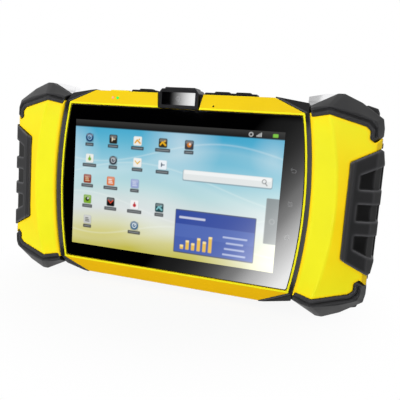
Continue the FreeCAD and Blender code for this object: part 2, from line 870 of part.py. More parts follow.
def strip_section(body, height, front_inner, front_outer):
    """One level section of the strip between the rim and the grip."""
    inner = bowed_x(GLASS_RADIUS + RIM + S.seam, GLASS_CENTRE, height)
    outer = bowed_x(STRIP_RADIUS, STRIP_CENTRE, height)
    return outline(body, "top", height, [
        (inner, S.front_depth), (inner, front_inner), (outer, front_outer), (outer, S.front_depth)])


def make_overmould():
    """The rubber strip between glass and right grip, which rises towards the grip, with the dark corner
    patches above and below it that fall away from the facets."""
    body = new_body("overmould_right")
    rim = GLASS_RADIUS + RIM + S.seam
    inner = bowed_x(rim, GLASS_CENTRE, FACET_FOOT)
    low_outer = bowed_x(STRIP_RADIUS, STRIP_CENTRE, FACET_FOOT)
    outer = bowed_x(STRIP_RADIUS, STRIP_CENTRE, SHOULDER_TALL)
    start = FACET_END + S.seam
    for way in (1, -1):
        add(body, "front", -S.strip_rise_corner, S.front_depth, [
            (inner, FACET_FOOT * way), (start, BODY_TALL * way), (start, PATCH_TOP * way),
            (outer, SHOULDER_TALL * way), (low_outer, FACET_FOOT * way)])
    patch_cut(body, S.patch_band_rise, 0, FACET_TOP_Y + 1)
    patch_cut(body, S.patch_rise, S.patch_band, S.front_depth)
    bar = []
    for part in (-1, -0.5, 0, 0.5, 1):
        height = STRIP_TALL * part
        bar.append(strip_section(body, height, RIM_FRONT, -eased(S.strip_rise, S.strip_rise_corner, height)))
    loft(body, bar, ruled=False)
    for way in (1, -1):
        foot = strip_section(body, STRIP_TALL * way, RIM_FRONT, -S.strip_rise_corner)
        end = strip_section(body, STRIP_END * way, S.strip_end_setback, S.strip_end_setback)
        loft(body, [foot, end])
    return place(body)


# ---------------------------------------------------------------- side grips and their pads


def bumper_path(gap):
    """The bumper's edge on the grip, from its inner tip to its outer end, moved away by a gap."""
    return [
        (BUMPER_TIP - gap, BUMPER_TIP_LOW - gap), (CREST_CORNER, BUMPER_LIP - gap),
        (BUMPER_BEND - gap / 2, BUMPER_BEND_Z - gap),
        (BUMPER_SIDE - gap, BUMPER_BEND_Z - S.bumper_bend_drop),
        (BUMPER_SIDE - gap, BUMPER_SIDE_Z - gap / 2), (BUMPER_END, BUMPER_END_Z - gap),
        (BUMPER_OUTER, BUMPER_OUTER_Z - gap)]


def corner_room(body, gap, front, back, sides=(1,)):
    """Cut away the corners, above and below, that the bumpers fill."""
    path = bumper_path(gap)
    outside = GRIP_SIDE + 15
    high = BUMPER_REACH + 5
    tip = BUMPER_TIP - S.bumper_tip_lean - gap
    corners = [(tip, BUMPER_TIP_HIGH)] + path + [(outside, path[-1][1]), (outside, high), (tip, high)]
    for side in sides:
        for way in (1, -1):
            cut(body, "front", front, back, [(x * side, z * way) for x, z in corners])


def pad_blank(label, section, gap):
    """A section drawn out along the grip and trimmed by the pad's six-sided front outline."""
    along = new_body(f"{label}_section")
    tall = PAD_TALL + gap
    add(along, "top", -tall, tall, section)
    across = new_body(f"{label}_face")
    end, side = PAD_END, PAD_SIDE
    half = [(PAD_INNER - gap, PAD_INNER_TALL + gap), (end, tall), (side - S.pad_taper, PAD_TAPER_TALL + gap),
            (side, PAD_SIDE_TALL + gap)]
    corners = half + [(x, -z) for x, z in reversed(half)]
    add(across, "front", S.pad_crest_y - 6, S.grip_depth + 2, corners)
    return boolean("Common", f"{label}_blank", along, across)


def make_grip_shell():
    """The yellow grip: a hollow shell lofted through five sections, whose crest bows out between the
    bumpers, with a seat for the pad and room for the two bumpers."""
    body = new_body("grip_loft")
    sections = []
    for part in (-1, -0.5, 0, 0.5, 1):
        level = GRIP_TALL * part
        inner = bowed_x(STRIP_RADIUS, STRIP_CENTRE, level) + S.seam
        crest = bowed_x(CREST_RADIUS, CREST_CENTRE, level)
        edge = -eased(S.grip_edge_rise, S.grip_edge_corner, level)
        sections.append(outline(body, "top", level, [
            (inner, S.grip_depth), (inner, edge + S.grip_edge_round), (inner + S.grip_edge_round, edge),
            (crest, -S.grip_crest_rise), (GRIP_BROW, S.grip_brow_y), (GRIP_SIDE, S.grip_side_y),
            (GRIP_SIDE, S.grip_depth)]))
    loft(body, sections, ruled=False)
    corner_room(body, S.seam, -S.bumper_front - 4, S.grip_depth + 2)
    wall = S.grip_wall
    inner, outer = CAVITY_INNER, CAVITY_OUTER
    bend = BUMPER_SIDE - wall
    high = BUMPER_BEND_Z - wall
    low = PAD_TALL - wall
    cut(body, "front", S.grip_cavity_y, S.grip_depth, [
        (inner, -high - 2), (bend, 4 - high), (bend, -low - 2), (outer, -low), (outer, low),
        (bend, low + 2), (bend, high - 4), (inner, high + 2)])
    wing = [(WING_SCREW_X, S.screw_wing_z * way) for way in (1, -1)]
    cut(body, "front", S.screw_tip_y - S.seam, S.grip_depth, wing, S.screw_shank + S.seam)
    side = [(S.side_screw_y, SIDE_SCREW_Z * way) for way in (1, -1)]
    cut(body, "side", GRIP_SIDE - S.side_screw_long - S.seam, GRIP_SIDE, side,
        S.side_screw_shank + S.seam)
    gap = S.seam
    inside = PAD_SIDE - S.pad_thick * 2 - gap
    far = PAD_SIDE + 10
    room = pad_blank("pad_room", [
        (PAD_INNER - gap, S.pad_foot_y + S.pad_thick + gap), (PAD_INNER - gap, S.pad_crest_y - 6),
        (far, S.pad_crest_y - 6), (far, S.grip_depth + 1), (inside, S.grip_depth + 1), (inside, S.pad_side_y),
        (PAD_BROW - S.pad_thick - gap, S.pad_brow_y + S.pad_thick + gap)], gap)
    return place(boolean("Cut", "grip_shell_right", body, room))


def make_grip_pad():
    """The rubber pad that wraps round the grip's edge, with a bevelled border and three sunk windows."""
    inside = PAD_SIDE - S.pad_thick * 2
    blank = pad_blank("pad", [
        (PAD_INNER, S.pad_foot_y + S.pad_thick), (PAD_INNER, S.pad_foot_y),
        (PAD_INNER + S.pad_bevel, S.pad_crest_y), (PAD_BROW, S.pad_brow_y),
        (PAD_SIDE, S.pad_side_y), (PAD_SIDE, S.grip_depth - S.pad_thick),
        (GRIP_SIDE, S.grip_depth), (inside, S.grip_depth), (inside, S.pad_side_y),
        (PAD_BROW - S.pad_thick, S.pad_brow_y + S.pad_thick)], formula(0))
    slope = (S.pad_brow_y - S.pad_crest_y) / (PAD_BROW - PAD_INNER - S.pad_bevel)
    start = WINDOW_START
    edge_y = S.pad_crest_y + slope * (start - PAD_INNER - S.pad_bevel)
    deep = S.window_deep
    outside = PAD_SIDE + 2
    depth = new_body("window_depth")
    add(depth, "top", -PAD_TALL, PAD_TALL, [
        (start, edge_y - 2), (start, edge_y), (start + deep / 2, edge_y + deep),
        (PAD_BROW - deep / 2, S.pad_brow_y + deep * 0.9), (PAD_SIDE - deep, S.pad_side_y + deep / 3),
        (PAD_SIDE - deep, S.window_back), (outside, S.window_back + deep), (outside, edge_y - 2)])
    faces = new_body("window_faces")
    front, back = S.pad_crest_y - 2, S.window_back + deep
    add(faces, "front", front, back, rectangle(start, outside, -S.window_half_tall, S.window_half_tall))
    low, high = S.window_outer_low, S.window_outer_high
    for way in (1, -1):
        add(faces, "front", front, back, [
            (start, low * way), (outside, low * way), (outside, (high + S.window_slant * (outside - start)) * way),
            (start, high * way)])
    windows = boolean("Common", "pad_windows", depth, faces)
    return place(boolean("Cut", "grip_pad_right", blank, windows))


# ---------------------------------------------------------------- corner bumpers and strap brackets


def bumper_section(body, level, outer):
    """One section of the bumper: its edge on the grip, and the outer points of that level."""
    return outline(body, "front", level, bumper_path(0)[:5] + outer)


def tip_edge(height):
    """A point on the leaning inner end of the bumper."""
    part = (height - BUMPER_TIP_LOW) / (BUMPER_TIP_HIGH - BUMPER_TIP_LOW)
    return BUMPER_TIP - S.bumper_tip_lean * part, height


def make_bumper_blank():
    """One solid rubber corner, top right: a raised band along the grip's edge, a facet that slopes back
    from it to a blunt peak, and a longer slope down to the outer end. The peak carries the standing part."""
    body = new_body("bumper_blank")
    peak, reach, half = BUMPER_PEAK, BUMPER_REACH, S.bumper_foot_half
    band = S.bumper_band
    crest = CREST_CORNER
    end_x, end_z = BUMPER_END, BUMPER_END_Z
    full_x, full_z = BUMPER_OUTER, BUMPER_OUTER_Z
    shoulder = (full_x - 1.1, BUMPER_LIP - 0.8)
    slope_x = (peak + full_x) / 2 - 1.0
    slope_z = (reach + BUMPER_LIP) / 2 + 1.8
    main = [
        (end_x, end_z), (full_x, full_z), (full_x, full_z + 5), shoulder, (slope_x, slope_z),
        (peak + half, reach), (peak - half, reach), tip_edge(BUMPER_TIP_HIGH)]
    front = [
        (end_x - 2.3, end_z + 1.9), (end_x - 1.8, end_z + 2.8), (BUMPER_SIDE + 0.6, BUMPER_BEND_Z - 0.2),
        (BUMPER_SIDE - 1.2, BUMPER_BEND_Z + 1.6), (slope_x - 2.5, BUMPER_LIP - 0.9),
        (crest + 1.0, BUMPER_LIP + band), (crest - 1.6, BUMPER_LIP + band - 0.2),
        tip_edge(BUMPER_TIP_LOW + band - 0.6)]
    inset = S.bumper_rear_inset
    rear = [
        (end_x, end_z + 0.4), (full_x - inset, full_z), (full_x - inset, full_z + 4.6),
        (shoulder[0] - inset, shoulder[1] - inset / 2), (slope_x - inset / 2, slope_z - inset),
        (peak + half / 2, reach - inset), (peak - half / 2, reach - inset), tip_edge(BUMPER_TIP_HIGH - inset / 2)]
    levels = ((-S.bumper_front, front), (S.bumper_full, main), (S.bumper_taper, main), (S.bumper_back, rear))
    loft(body, [bumper_section(body, level, outer) for level, outer in levels])
    # the band's face leans back with the grip towards the outer end, and more steeply towards the tip
    ahead = -S.bumper_front - 3
    start = crest + 1.5
    outside = full_x + 5
    cut(body, "top", BUMPER_END_Z - 5, reach + 5, [
        (start, ahead), (start, -S.bumper_front),
        (outside, (outside - start) * S.bumper_outer_slope - S.bumper_front), (outside, ahead)])
    start = crest - 1.5
    inside = BUMPER_TIP - 5
    cut(body, "top", BUMPER_END_Z - 5, reach + 5, [
        (start, ahead), (start, -S.bumper_front),
        (inside, (start - inside) * S.bumper_inner_slope - S.bumper_front), (inside, ahead)])
    # the wedge that stands on the outer slope, further back
    add(body, "front", S.rib_front, S.rib_back, [
        (RIB_START - 2, RIB_SIDE_Z), (RIB_SIDE, BUMPER_LIP - 1), (RIB_SIDE, RIB_SIDE_Z),
        (RIB_END, RIB_END_Z), (RIB_START, RIB_START_Z), (RIB_START - 2, RIB_START_Z - 1)])
    return body


def make_bumpers():
    """The four bumpers: the upper pair also has the room for the strap brackets."""
    blank, hole = make_bumper_blank(), bumper_screw_hole()
    lower = place(boolean("Cut", "bumper_bottom_right_source", blank, hole))
    room = new_body("bracket_room")
    gap = S.fit_gap
    add(room, "front", S.bracket_front - gap, S.bracket_back + gap,
        rectangle(BRACKET_INNER - 2, BRACKET_OUTER + gap, BRACKET_FOOT - gap, BUMPER_REACH + 2))
    upper_right = place(boolean("Cut", "bumper_top_right", boolean("Cut", "bumper_bored", blank, hole), room))
    upper_left = mirrored("bumper_top_left", upper_right)
    lower_right = mirrored("bumper_bottom_right", lower, "z")
    lower_left = mirrored("bumper_bottom_left", lower_right)
    return upper_right, upper_left, lower_right, lower_left



def bumper_screw_hole():
    """The blind hole in a bumper's back for the screw that holds it."""
    body = new_body("bumper_screw_hole")
    add(body, "front", S.bumper_taper - 4, S.bumper_back + 1, [(BUMPER_PEAK + 4, BUMPER_LIP + 4)], S.screw_head)
    return body


def make_strap_bracket():
    """A folded steel bracket behind the upper bumper: two upright legs under a sloping web, open at the
    inner end for a strap."""
    body = new_body("strap_bracket_right")
    sheet_thick = S.bracket_sheet
    inner, outer, bend = BRACKET_INNER, BRACKET_OUTER, BRACKET_BEND
    low, high, foot = BRACKET_LOW, BRACKET_HIGH, BRACKET_FOOT
    add(body, "front", S.bracket_front, S.bracket_back, [
        (inner, foot), (outer, foot), (outer, high), (bend, high), (inner, low)])
    cut(body, "front", S.bracket_front + sheet_thick, S.bracket_back - sheet_thick, [
        (inner - 1, foot - 1), (outer - sheet_thick, foot - 1), (outer - sheet_thick, high - sheet_thick),
        (bend, high - sheet_thick), (inner - 1, low - sheet_thick * 1.2)])
    return place(body)


# ---------------------------------------------------------------- camera pod


def make_camera_pod():
    """The black pod over the glass: a bevelled block with a hood, flared flanks and a sunk window."""
    body = new_body("camera_pod")
    wide, top, foot = S.pod_half_wide, POD_TOP, POD_FOOT
    chamfer_x, chamfer_z = S.pod_chamfer_x, S.pod_chamfer_z
    add(body, "front", -S.pod_proud, S.front_depth, [
        (-wide, foot), (wide, foot), (wide, top - chamfer_z), (wide - chamfer_x, top),
        (chamfer_x - wide, top), (-wide, top - chamfer_z)])
    low, high = S.pod_flare_low - S.seam, S.pod_flare_high - S.seam
    add(body, "front", S.pod_flank_y, S.front_depth, [
        (-low, foot), (low, foot), (high, BODY_TALL), (-high, BODY_TALL)])
    hood = S.hood_half_wide
    add(body, "front", S.hood_front, S.hood_back, [
        (-hood, top - 1), (hood, top - 1), (hood - S.hood_slope, HOOD_TOP), (S.hood_slope - hood, HOOD_TOP)])
    half = S.window_wide / 2
    floor = S.window_recess - S.pod_proud
    cut(body, "front", -S.pod_proud - 1, floor, rectangle(-half, half, WINDOW_LOW, WINDOW_HIGH))
    cell = S.camera_cell / 2
    middle = (WINDOW_LOW + WINDOW_HIGH) / 2
    cut(body, "front", floor, S.camera_deep, rectangle(-cell, cell, middle - cell, middle + cell))
    return place(body)


def make_camera_window():
    """The clear window plate in the pod."""
    body = new_body("camera_window")
    half = S.window_wide / 2 - S.seam
    floor = S.window_recess - S.pod_proud
    add(body, "front", floor - S.window_plate, floor,
        rectangle(-half, half, WINDOW_LOW + S.seam, WINDOW_HIGH - S.seam))
    return place(body)


def make_front_camera():
    """The camera module behind the window: a square cell and a lens barrel."""
    body = new_body("front_camera")
    cell = S.camera_cell / 2 - S.seam
    middle = (WINDOW_LOW + WINDOW_HIGH) / 2
    add(body, "front", S.camera_body_y, S.camera_deep, rectangle(-cell, cell, middle - cell, middle + cell))
    floor = S.window_recess - S.pod_proud
    add(body, "front", floor + S.fit_gap, S.camera_body_y, [(0, middle)], S.camera_lens)
    return place(body)


# ---------------------------------------------------------------- keys

KEYS = {
    "power_key": ("power", S.power_key_x),
    "volume_up_key": ("volume", S.volume_up_x),
    "volume_down_key": ("volume", S.volume_down_x),
}
KEY_MIDDLE_Y = (S.strip_front + S.strip_back) / 2
FLANGE_TOP = KEY_STRIP_FLOOR - S.fit_gap
FLANGE_FOOT = FLANGE_TOP - S.key_flange_thick
SWITCH_TOP = WELL_FLOOR + S.switch_thick
STEM_FOOT = SWITCH_TOP + S.key_travel + S.fit_gap


def make_key(label):
    """One sprung key: a cap with softened edges, a flange that holds it in, and a stem."""
    body = new_body(label)
    middle = KEYS[label][1]
    wide, deep = S.key_half_wide, S.key_half_deep
    cap = rectangle(middle - wide, middle + wide, KEY_MIDDLE_Y - deep, KEY_MIDDLE_Y + deep)
    add(body, "top", FLANGE_FOOT, KEY_TOP, cap)
    soften(body, "Fillet", S.key_gap * 3, lambda m, a, e: m.z > KEY_TOP.value - 0.01)
    flange = wide + S.key_flange
    add(body, "top", FLANGE_FOOT, FLANGE_TOP,
        rectangle(middle - flange, middle + flange, KEY_MIDDLE_Y - deep, KEY_MIDDLE_Y + deep))
    add(body, "top", STEM_FOOT, FLANGE_FOOT, [(middle, KEY_MIDDLE_Y)], S.key_stem)
    return place(body)


def make_key_strip(label, strip):
    """The black strip that a group of keys comes through."""
    body = new_body(label)
    left, right = key_strip_span(strip)
    add(body, "top", KEY_STRIP_FLOOR, KEY_STRIP_TOP, rectangle(left, right, S.strip_front, S.strip_back))
    soften(body, "Chamfer", S.key_gap * 2, lambda m, a, e: m.z > KEY_STRIP_TOP.value - 0.01)
    wide, deep = S.key_half_wide + S.key_gap, S.key_half_deep + S.key_gap
    for group, middle in KEYS.values():
        if group == strip:
            cut(body, "top", KEY_STRIP_FLOOR, KEY_STRIP_TOP,
                rectangle(middle - wide, middle + wide, KEY_MIDDLE_Y - deep, KEY_MIDDLE_Y + deep))
    return place(body)


def make_key_switches():
    """The three tact switches on the floors of the key wells."""
    body = new_body("key_switches")
    for group, middle in KEYS.values():
        add(body, "top", WELL_FLOOR, SWITCH_TOP - S.switch_thick / 4,
            rectangle(middle - S.switch_half_wide, middle + S.switch_half_wide,
                      KEY_MIDDLE_Y - S.switch_half_deep, KEY_MIDDLE_Y + S.switch_half_deep))
        add(body, "top", SWITCH_TOP - S.switch_thick / 4, SWITCH_TOP, [(middle, KEY_MIDDLE_Y)], S.key_stem)
    return place(body)


# ---------------------------------------------------------------- port, lights, dock


def make_port_cover():
    """The yellow cover on the top edge, a plate with a barrel along its rear edge."""
    body = new_body("port_cover")
    gap = S.fit_gap
    left, right = S.port_left + gap, S.port_right - gap
    floor = PORT_FLOOR + gap
    add(body, "top", floor, PORT_TOP, rectangle(left, right, S.port_front + gap, S.port_hinge_y))
    soften(body, "Fillet", S.fit_gap * 2, lambda m, a, e: m.z > PORT_TOP.value - 0.01 and m.y < 12)
    add(body, "side", left, right, [(S.port_hinge_y, PORT_HINGE_Z)], S.port_barrel)
    cut(body, "side", left, right, [(S.port_hinge_y, PORT_HINGE_Z)], S.port_pin + S.port_pin_gap)
    return place(body)


def make_port_hinge_pin():
    """The steel pin through the cover's barrel and the housing's two ears."""
    body = new_body("port_hinge_pin")
    ends = S.port_ear - S.seam
    add(body, "side", S.port_left - ends, S.port_right + ends, [(S.port_hinge_y, PORT_HINGE_Z)], S.port_pin)
    return place(body)


def make_usb_socket():
    """The flat socket under the cover: a thin metal shell with a tongue in it."""
    body = new_body("usb_socket")
    wide, deep = S.socket_wide / 2, S.socket_deep / 2
    x, y, wall = S.socket_x, S.socket_y, S.socket_sheet
    top = PORT_FLOOR - S.seam
    add(body, "top", SOCKET_FLOOR, top, rectangle(x - wide, x + wide, y - deep, y + deep))
    soften(body, "Fillet", wall * 1.5, lambda m, a, e: abs(a.z) > 0.99)
    cut(body, "top", SOCKET_FLOOR + wall * 2, top,
        rectangle(x - wide + wall, x + wide - wall, y - deep + wall, y + deep - wall))
    add(body, "top", SOCKET_FLOOR + wall, top - wall * 2,
        rectangle(x - S.tongue_wide / 2, x + S.tongue_wide / 2, y - S.tongue_deep / 2, y + S.tongue_deep / 2))
    return place(body)


def make_light(label, x):
    """One status light: a clear light pipe that comes through the top facet."""
    body = new_body(label)
    surface = facet_y(LIGHT_Z)
    add(body, "front", surface - S.seam * 2, surface + S.light_long, [(x, LIGHT_Z)], S.light_bore - S.seam)
    return place(body)


def make_dock_connector():
    """The docking connector's block in the bottom edge."""
    body = new_body("dock_connector")
    add(body, "top", -BODY_TALL, -DOCK_INNER - S.seam,
        rectangle(-S.dock_half_wide, S.dock_half_wide, S.dock_front, S.dock_back))
    return place(body)


def make_dock_contacts():
    """The row of gold contact pads on the docking connector."""
    body = new_body("dock_contacts")
    middle_y = (S.dock_front + S.dock_back) / 2
    span = S.dock_pitch * (S.dock_count - 1)
    left = -span / 2 - S.dock_pad_wide / 2
    pad = add(body, "top", -BODY_TALL - S.dock_pad_proud, -BODY_TALL,
              rectangle(left, left + S.dock_pad_wide, middle_y - S.dock_pad_deep / 2, middle_y + S.dock_pad_deep / 2))
    doc.recompute()
    row_of_pads = body.newObject("PartDesign::LinearPattern", "dock_contacts_pattern")
    row_of_pads.Originals = [pad]
    row_of_pads.Direction = (pad.Profile[0], ["H_Axis"])
    row_of_pads.setExpression("Length", span.text)
    row_of_pads.setExpression("Occurrences", S.dock_count.text)
    body.Tip = row_of_pads
    return place(body)


# ---------------------------------------------------------------- frame, board and what it carries

FRAME_FRONT = S.glass_thick + S.panel_thick + S.frame_gap
FRAME_BACK = FRAME_FRONT + S.frame_thick
BOARD_FRONT = FRAME_BACK + S.standoff_tall
BOARD_BACK = BOARD_FRONT + S.board_thick
STANDOFFS = [(STANDOFF_X * w, STANDOFF_Z * v) for w in (-1, 0, 1) for v in (-1, 1)]


def make_mid_frame():
    """The magnesium plate behind the display, with six standoffs for the board."""
    body = new_body("mid_frame")
    inset = S.ledge_wide + S.fit_gap
    add(body, "front", FRAME_FRONT, FRAME_BACK, arched(-inset, GLASS_TALL - inset))
    add(body, "front", FRAME_BACK, BOARD_FRONT, STANDOFFS, S.standoff_wide)
    cut(body, "front", FRAME_BACK, BOARD_FRONT, STANDOFFS, S.board_screw + S.seam / 2)
    return place(body)


def make_main_board():
    """The main circuit board."""
    body = new_body("main_board")
    wide, tall = BOARD_WIDE, BOARD_TALL
    add(body, "front", BOARD_FRONT, BOARD_BACK, rectangle(-wide, wide, -tall, tall))
    cut(body, "front", BOARD_FRONT, BOARD_BACK, STANDOFFS, S.board_screw + S.seam * 2)
    return place(body)


def make_shield_cans():
    """The shielding cans over the processor, the modem and the positioning receiver."""
    body = new_body("shield_cans")
    wide, tall = BOARD_WIDE, BOARD_TALL
    step = wide / 19
    for left, right, low, high in ((-14, -3, 1, 8), (1, 12, 2, 9), (-12, -5, -9, -2), (4, 14, -8, -4)):
        add(body, "front", BOARD_BACK, BOARD_BACK + S.can_tall,
            rectangle(step * left, step * right, tall / 12 * low, tall / 12 * high))
    return place(body)


def make_board_screws():
    """The six screws that hold the board on its standoffs."""
    body = new_body("board_screws")
    add(body, "front", BOARD_BACK, BOARD_BACK + S.board_screw_head_tall, STANDOFFS, S.board_screw_head)
    add(body, "front", FRAME_BACK + S.seam, BOARD_BACK, STANDOFFS, S.board_screw)
    return place(body)


def make_gnss_antenna():
    """The positioning antenna in the left grip: a ceramic patch on its ground plate."""
    body = new_body("gnss_antenna")
    half = S.antenna_side / 2
    x, z = ANTENNA_X, S.antenna_z
    floor = S.grip_cavity_y
    plate = floor + S.board_thick
    add(body, "front", floor, plate, rectangle(x - half, x + half, z - half, z + half))
    patch = half - S.grip_wall
    add(body, "front", plate, plate + S.antenna_tall, rectangle(x - patch, x + patch, z - patch, z + patch))
    return place(body)


def make_wireless_antenna():
    """The flat wireless antenna on the front wall of the right grip."""
    body = new_body("wireless_antenna")
    left = CAVITY_INNER + S.grip_wall
    tall = S.flex_tall / 2
    add(body, "front", S.grip_cavity_y, S.grip_cavity_y + S.flex_thick,
        rectangle(left, left + S.flex_wide, -tall, tall))
    return place(body)


def make_speaker():
    """The speaker box behind the slots in the right wing of the rear housing."""
    body = new_body("speaker")
    wide, tall = S.speaker_wide / 2, S.speaker_tall / 2
    wall = S.back_plane - S.back_wall
    add(body, "front", wall - S.speaker_thick, wall,
        rectangle(SPEAKER_X - wide, SPEAKER_X + wide, S.speaker_z - tall, S.speaker_z + tall))
    return place(body)


# ---------------------------------------------------------------- rear housing, battery bay, door

BACK_INSIDE = S.back_plane - S.back_wall
INSERTS = [(S.insert_pitch / 2 * w, S.insert_pitch / 2 * v) for w in (-1, 1) for v in (-1, 1)]
CASE_SCREWS = [(x * w, z * v) for x, z in (
    (S.screw_outer_x, ROW_SCREW_Z), (S.screw_inner_x, ROW_SCREW_Z), (WING_SCREW_X, S.screw_wing_z))
    for w in (-1, 1) for v in (-1, 1)]
LOCKS = [(-LOCK_X, 0), (LOCK_X, 0)]


def make_rear_housing():
    """The dark rear housing: a centre tray as deep as the electronics, a wing behind each grip, a solid
    frame round the battery bay, bosses for the mounting inserts, and bevelled rear edges."""
    body = new_body("rear_shell")
    outer = bowed_x(STRIP_RADIUS, STRIP_CENTRE, SHOULDER_TALL)
    half, top, shoulder = FACET_END, BODY_TALL, SHOULDER_TALL
    add(body, "front", S.front_depth, S.grip_depth, [
        (outer, -shoulder, STRIP_RADIUS), (outer, shoulder), (half, top), (-half, top),
        (-outer, shoulder, STRIP_RADIUS), (-outer, -shoulder), (-half, -top), (half, -top)])
    wide, corner = BACK_SIDE, BACK_CORNER_TALL
    add(body, "front", S.grip_depth, S.back_plane, [
        (wide, -corner), (wide, corner), (outer, shoulder), (half, top), (-half, top), (-outer, shoulder),
        (-wide, corner), (-wide, -corner), (-outer, -shoulder), (-half, -top), (half, -top), (outer, -shoulder)])
    soften(body, "Chamfer", S.back_chamfer, lambda m, a, e: abs(m.y - S.back_plane.value) < 0.01)
    cut(body, "front", S.front_depth, S.front_depth + S.seal_deep, seal_outline(0))
    add(body, "front", S.front_depth, S.front_depth + S.seal_deep, seal_outline(S.seal_wide))
    cut(body, "front", S.front_depth, BACK_INSIDE, OPENING)
    block_wide, block_tall = DOOR_WIDE + 2.5, S.bay_half_tall + S.bay_wall
    add(body, "front", S.front_depth, BACK_INSIDE, rectangle(-block_wide, block_wide, -block_tall, block_tall))
    add(body, "front", S.grip_depth, BACK_INSIDE, INSERTS, S.insert_boss)
    inner, far = CAVITY_INNER, CAVITY_OUTER
    low = PAD_TALL - S.grip_wall
    high = BUMPER_BEND_Z - S.grip_wall
    bend = BUMPER_SIDE - S.grip_wall
    for way in (1, -1):
        cut(body, "front", S.grip_depth, BACK_INSIDE, [(x * way, z) for x, z in (
            (inner, -high - 2), (bend, 4 - high), (far - S.grip_wall, -low), (far - S.grip_wall, low),
            (bend, high - 4), (inner, high + 2))])
    gap = S.fit_gap
    door_wide, door_tall = DOOR_WIDE + gap, DOOR_TALL + gap
    cut(body, "front", BACK_INSIDE, S.back_plane, rectangle(-door_wide, door_wide, -door_tall, door_tall))
    soften(body, "Fillet", S.door_round + gap, lambda m, a, e: is_corner(m, a, e) and m.y > BACK_INSIDE.value
           and abs(abs(m.x) - door_wide.value) < 0.01 and abs(abs(m.z) - door_tall.value) < 0.01)
    cut(body, "front", S.bay_floor, BACK_INSIDE,
        rectangle(-S.bay_half_wide, S.bay_half_wide, -S.bay_half_tall, S.bay_half_tall))
    cut(body, "front", S.front_depth, S.bay_floor,
        rectangle(-S.contact_half_wide - S.seam, S.contact_half_wide + S.seam,
                  CONTACT_Z - S.contact_half_tall - S.seam, CONTACT_Z + S.contact_half_tall + S.seam))
    cut(body, "front", BACK_INSIDE - S.lock_long, BACK_INSIDE, LOCKS, S.lock_stem + gap)
    cut(body, "front", S.back_plane - S.insert_long - S.seam, S.back_plane, INSERTS, S.insert_radius + S.seam / 2)
    cut(body, "front", S.front_depth, S.back_plane, CASE_SCREWS, S.screw_shank + S.seam)
    cut(body, "front", S.back_plane - S.screw_head_tall - S.screw_sink, S.back_plane, CASE_SCREWS,
        S.screw_head + S.seam)
    camera = [(REAR_CAMERA_X, REAR_CAMERA_Z)]
    cut(body, "front", BACK_INSIDE, S.back_plane, camera, S.rear_lens + S.seam)
    cut(body, "front", S.back_plane - S.rear_window_thick - S.seam, S.back_plane, camera, S.rear_window + S.seam)
    cut(body, "front", BACK_INSIDE, S.back_plane, [(FLASH_X, REAR_CAMERA_Z)], S.flash_radius + S.seam)
    for step in (-2, -1, 0, 1, 2):
        middle = S.speaker_z + S.slot_pitch * step
        cut(body, "front", BACK_INSIDE, S.back_plane,
            rectangle(SPEAKER_X - S.slot_wide / 2, SPEAKER_X + S.slot_wide / 2,
                      middle - S.slot_tall / 2, middle + S.slot_tall / 2))
    return body


def seal_outline(inset):
    """The housing seal's outer outline, or its inner one where the seal's width is the inset."""
    step = inset + S.seal_inset
    return arched(RIM - step, FACET_FOOT - step)


def make_housing_seal():
    """The seal between front and rear housing, in a groove of the rear one."""
    body = new_body("housing_seal")
    back = S.front_depth + S.seal_deep
    add(body, "front", S.front_depth, back, seal_outline(0))
    cut(body, "front", S.front_depth, back, seal_outline(S.seal_wide))
    return place(body)


def make_battery_pack():
    """The battery pack in its bay."""
    body = new_body("battery_pack")
    gap = S.fit_gap
    wide, tall = S.bay_half_wide - gap, S.bay_half_tall - gap
    add(body, "front", S.bay_floor + gap, BACK_INSIDE - gap, rectangle(-wide, wide, -tall, tall))
    soften(body, "Fillet", S.glass_round, is_corner)
    return place(body)


def make_battery_contacts():
    """The contact block that reaches through the bay's floor to the battery."""
    body = new_body("battery_contacts")
    wide, tall = S.contact_half_wide, S.contact_half_tall
    add(body, "front", BOARD_BACK, S.bay_floor + S.fit_gap,
        rectangle(-wide, wide, CONTACT_Z - tall, CONTACT_Z + tall))
    return place(body)


def make_battery_door():
    """The flush battery door, with finger grooves and a sunk seat for each of its two locks."""
    body = new_body("battery_door")
    wide, tall = DOOR_WIDE, DOOR_TALL
    front = S.back_plane - S.door_thick
    add(body, "front", front, S.back_plane, rectangle(-wide, wide, -tall, tall))
    soften(body, "Fillet", S.door_round, is_corner)
    cut(body, "front", front, S.back_plane, LOCKS, S.lock_stem + S.seam)
    cut(body, "front", S.back_plane - S.lock_head_thick, S.back_plane, LOCKS, S.lock_head + S.fit_gap)
    for step in (0, 1, 2):
        middle = S.grip_groove_pitch * step - DOOR_TALL + S.grip_groove_pitch * 1.5
        cut(body, "front", S.back_plane - S.grip_groove_deep, S.back_plane,
            rectangle(-S.grip_groove_wide / 2, S.grip_groove_wide / 2,
                      middle - S.grip_groove_tall / 2, middle + S.grip_groove_tall / 2))
    return place(body)


def make_door_seal():
    """The seal bonded round the inside of the battery door."""
    body = new_body("door_seal")
    back = S.back_plane - S.door_thick
    front = back - S.door_seal
    inset = S.door_seal_inset
    wide, tall = DOOR_WIDE - inset - S.door_round / 4, DOOR_TALL - inset
    add(body, "front", front, back, rectangle(-wide, wide, -tall, tall))
    wide, tall = wide - S.door_seal_wide, tall - S.door_seal_wide
    cut(body, "front", front, back, rectangle(-wide, wide, -tall, tall))
    return place(body)


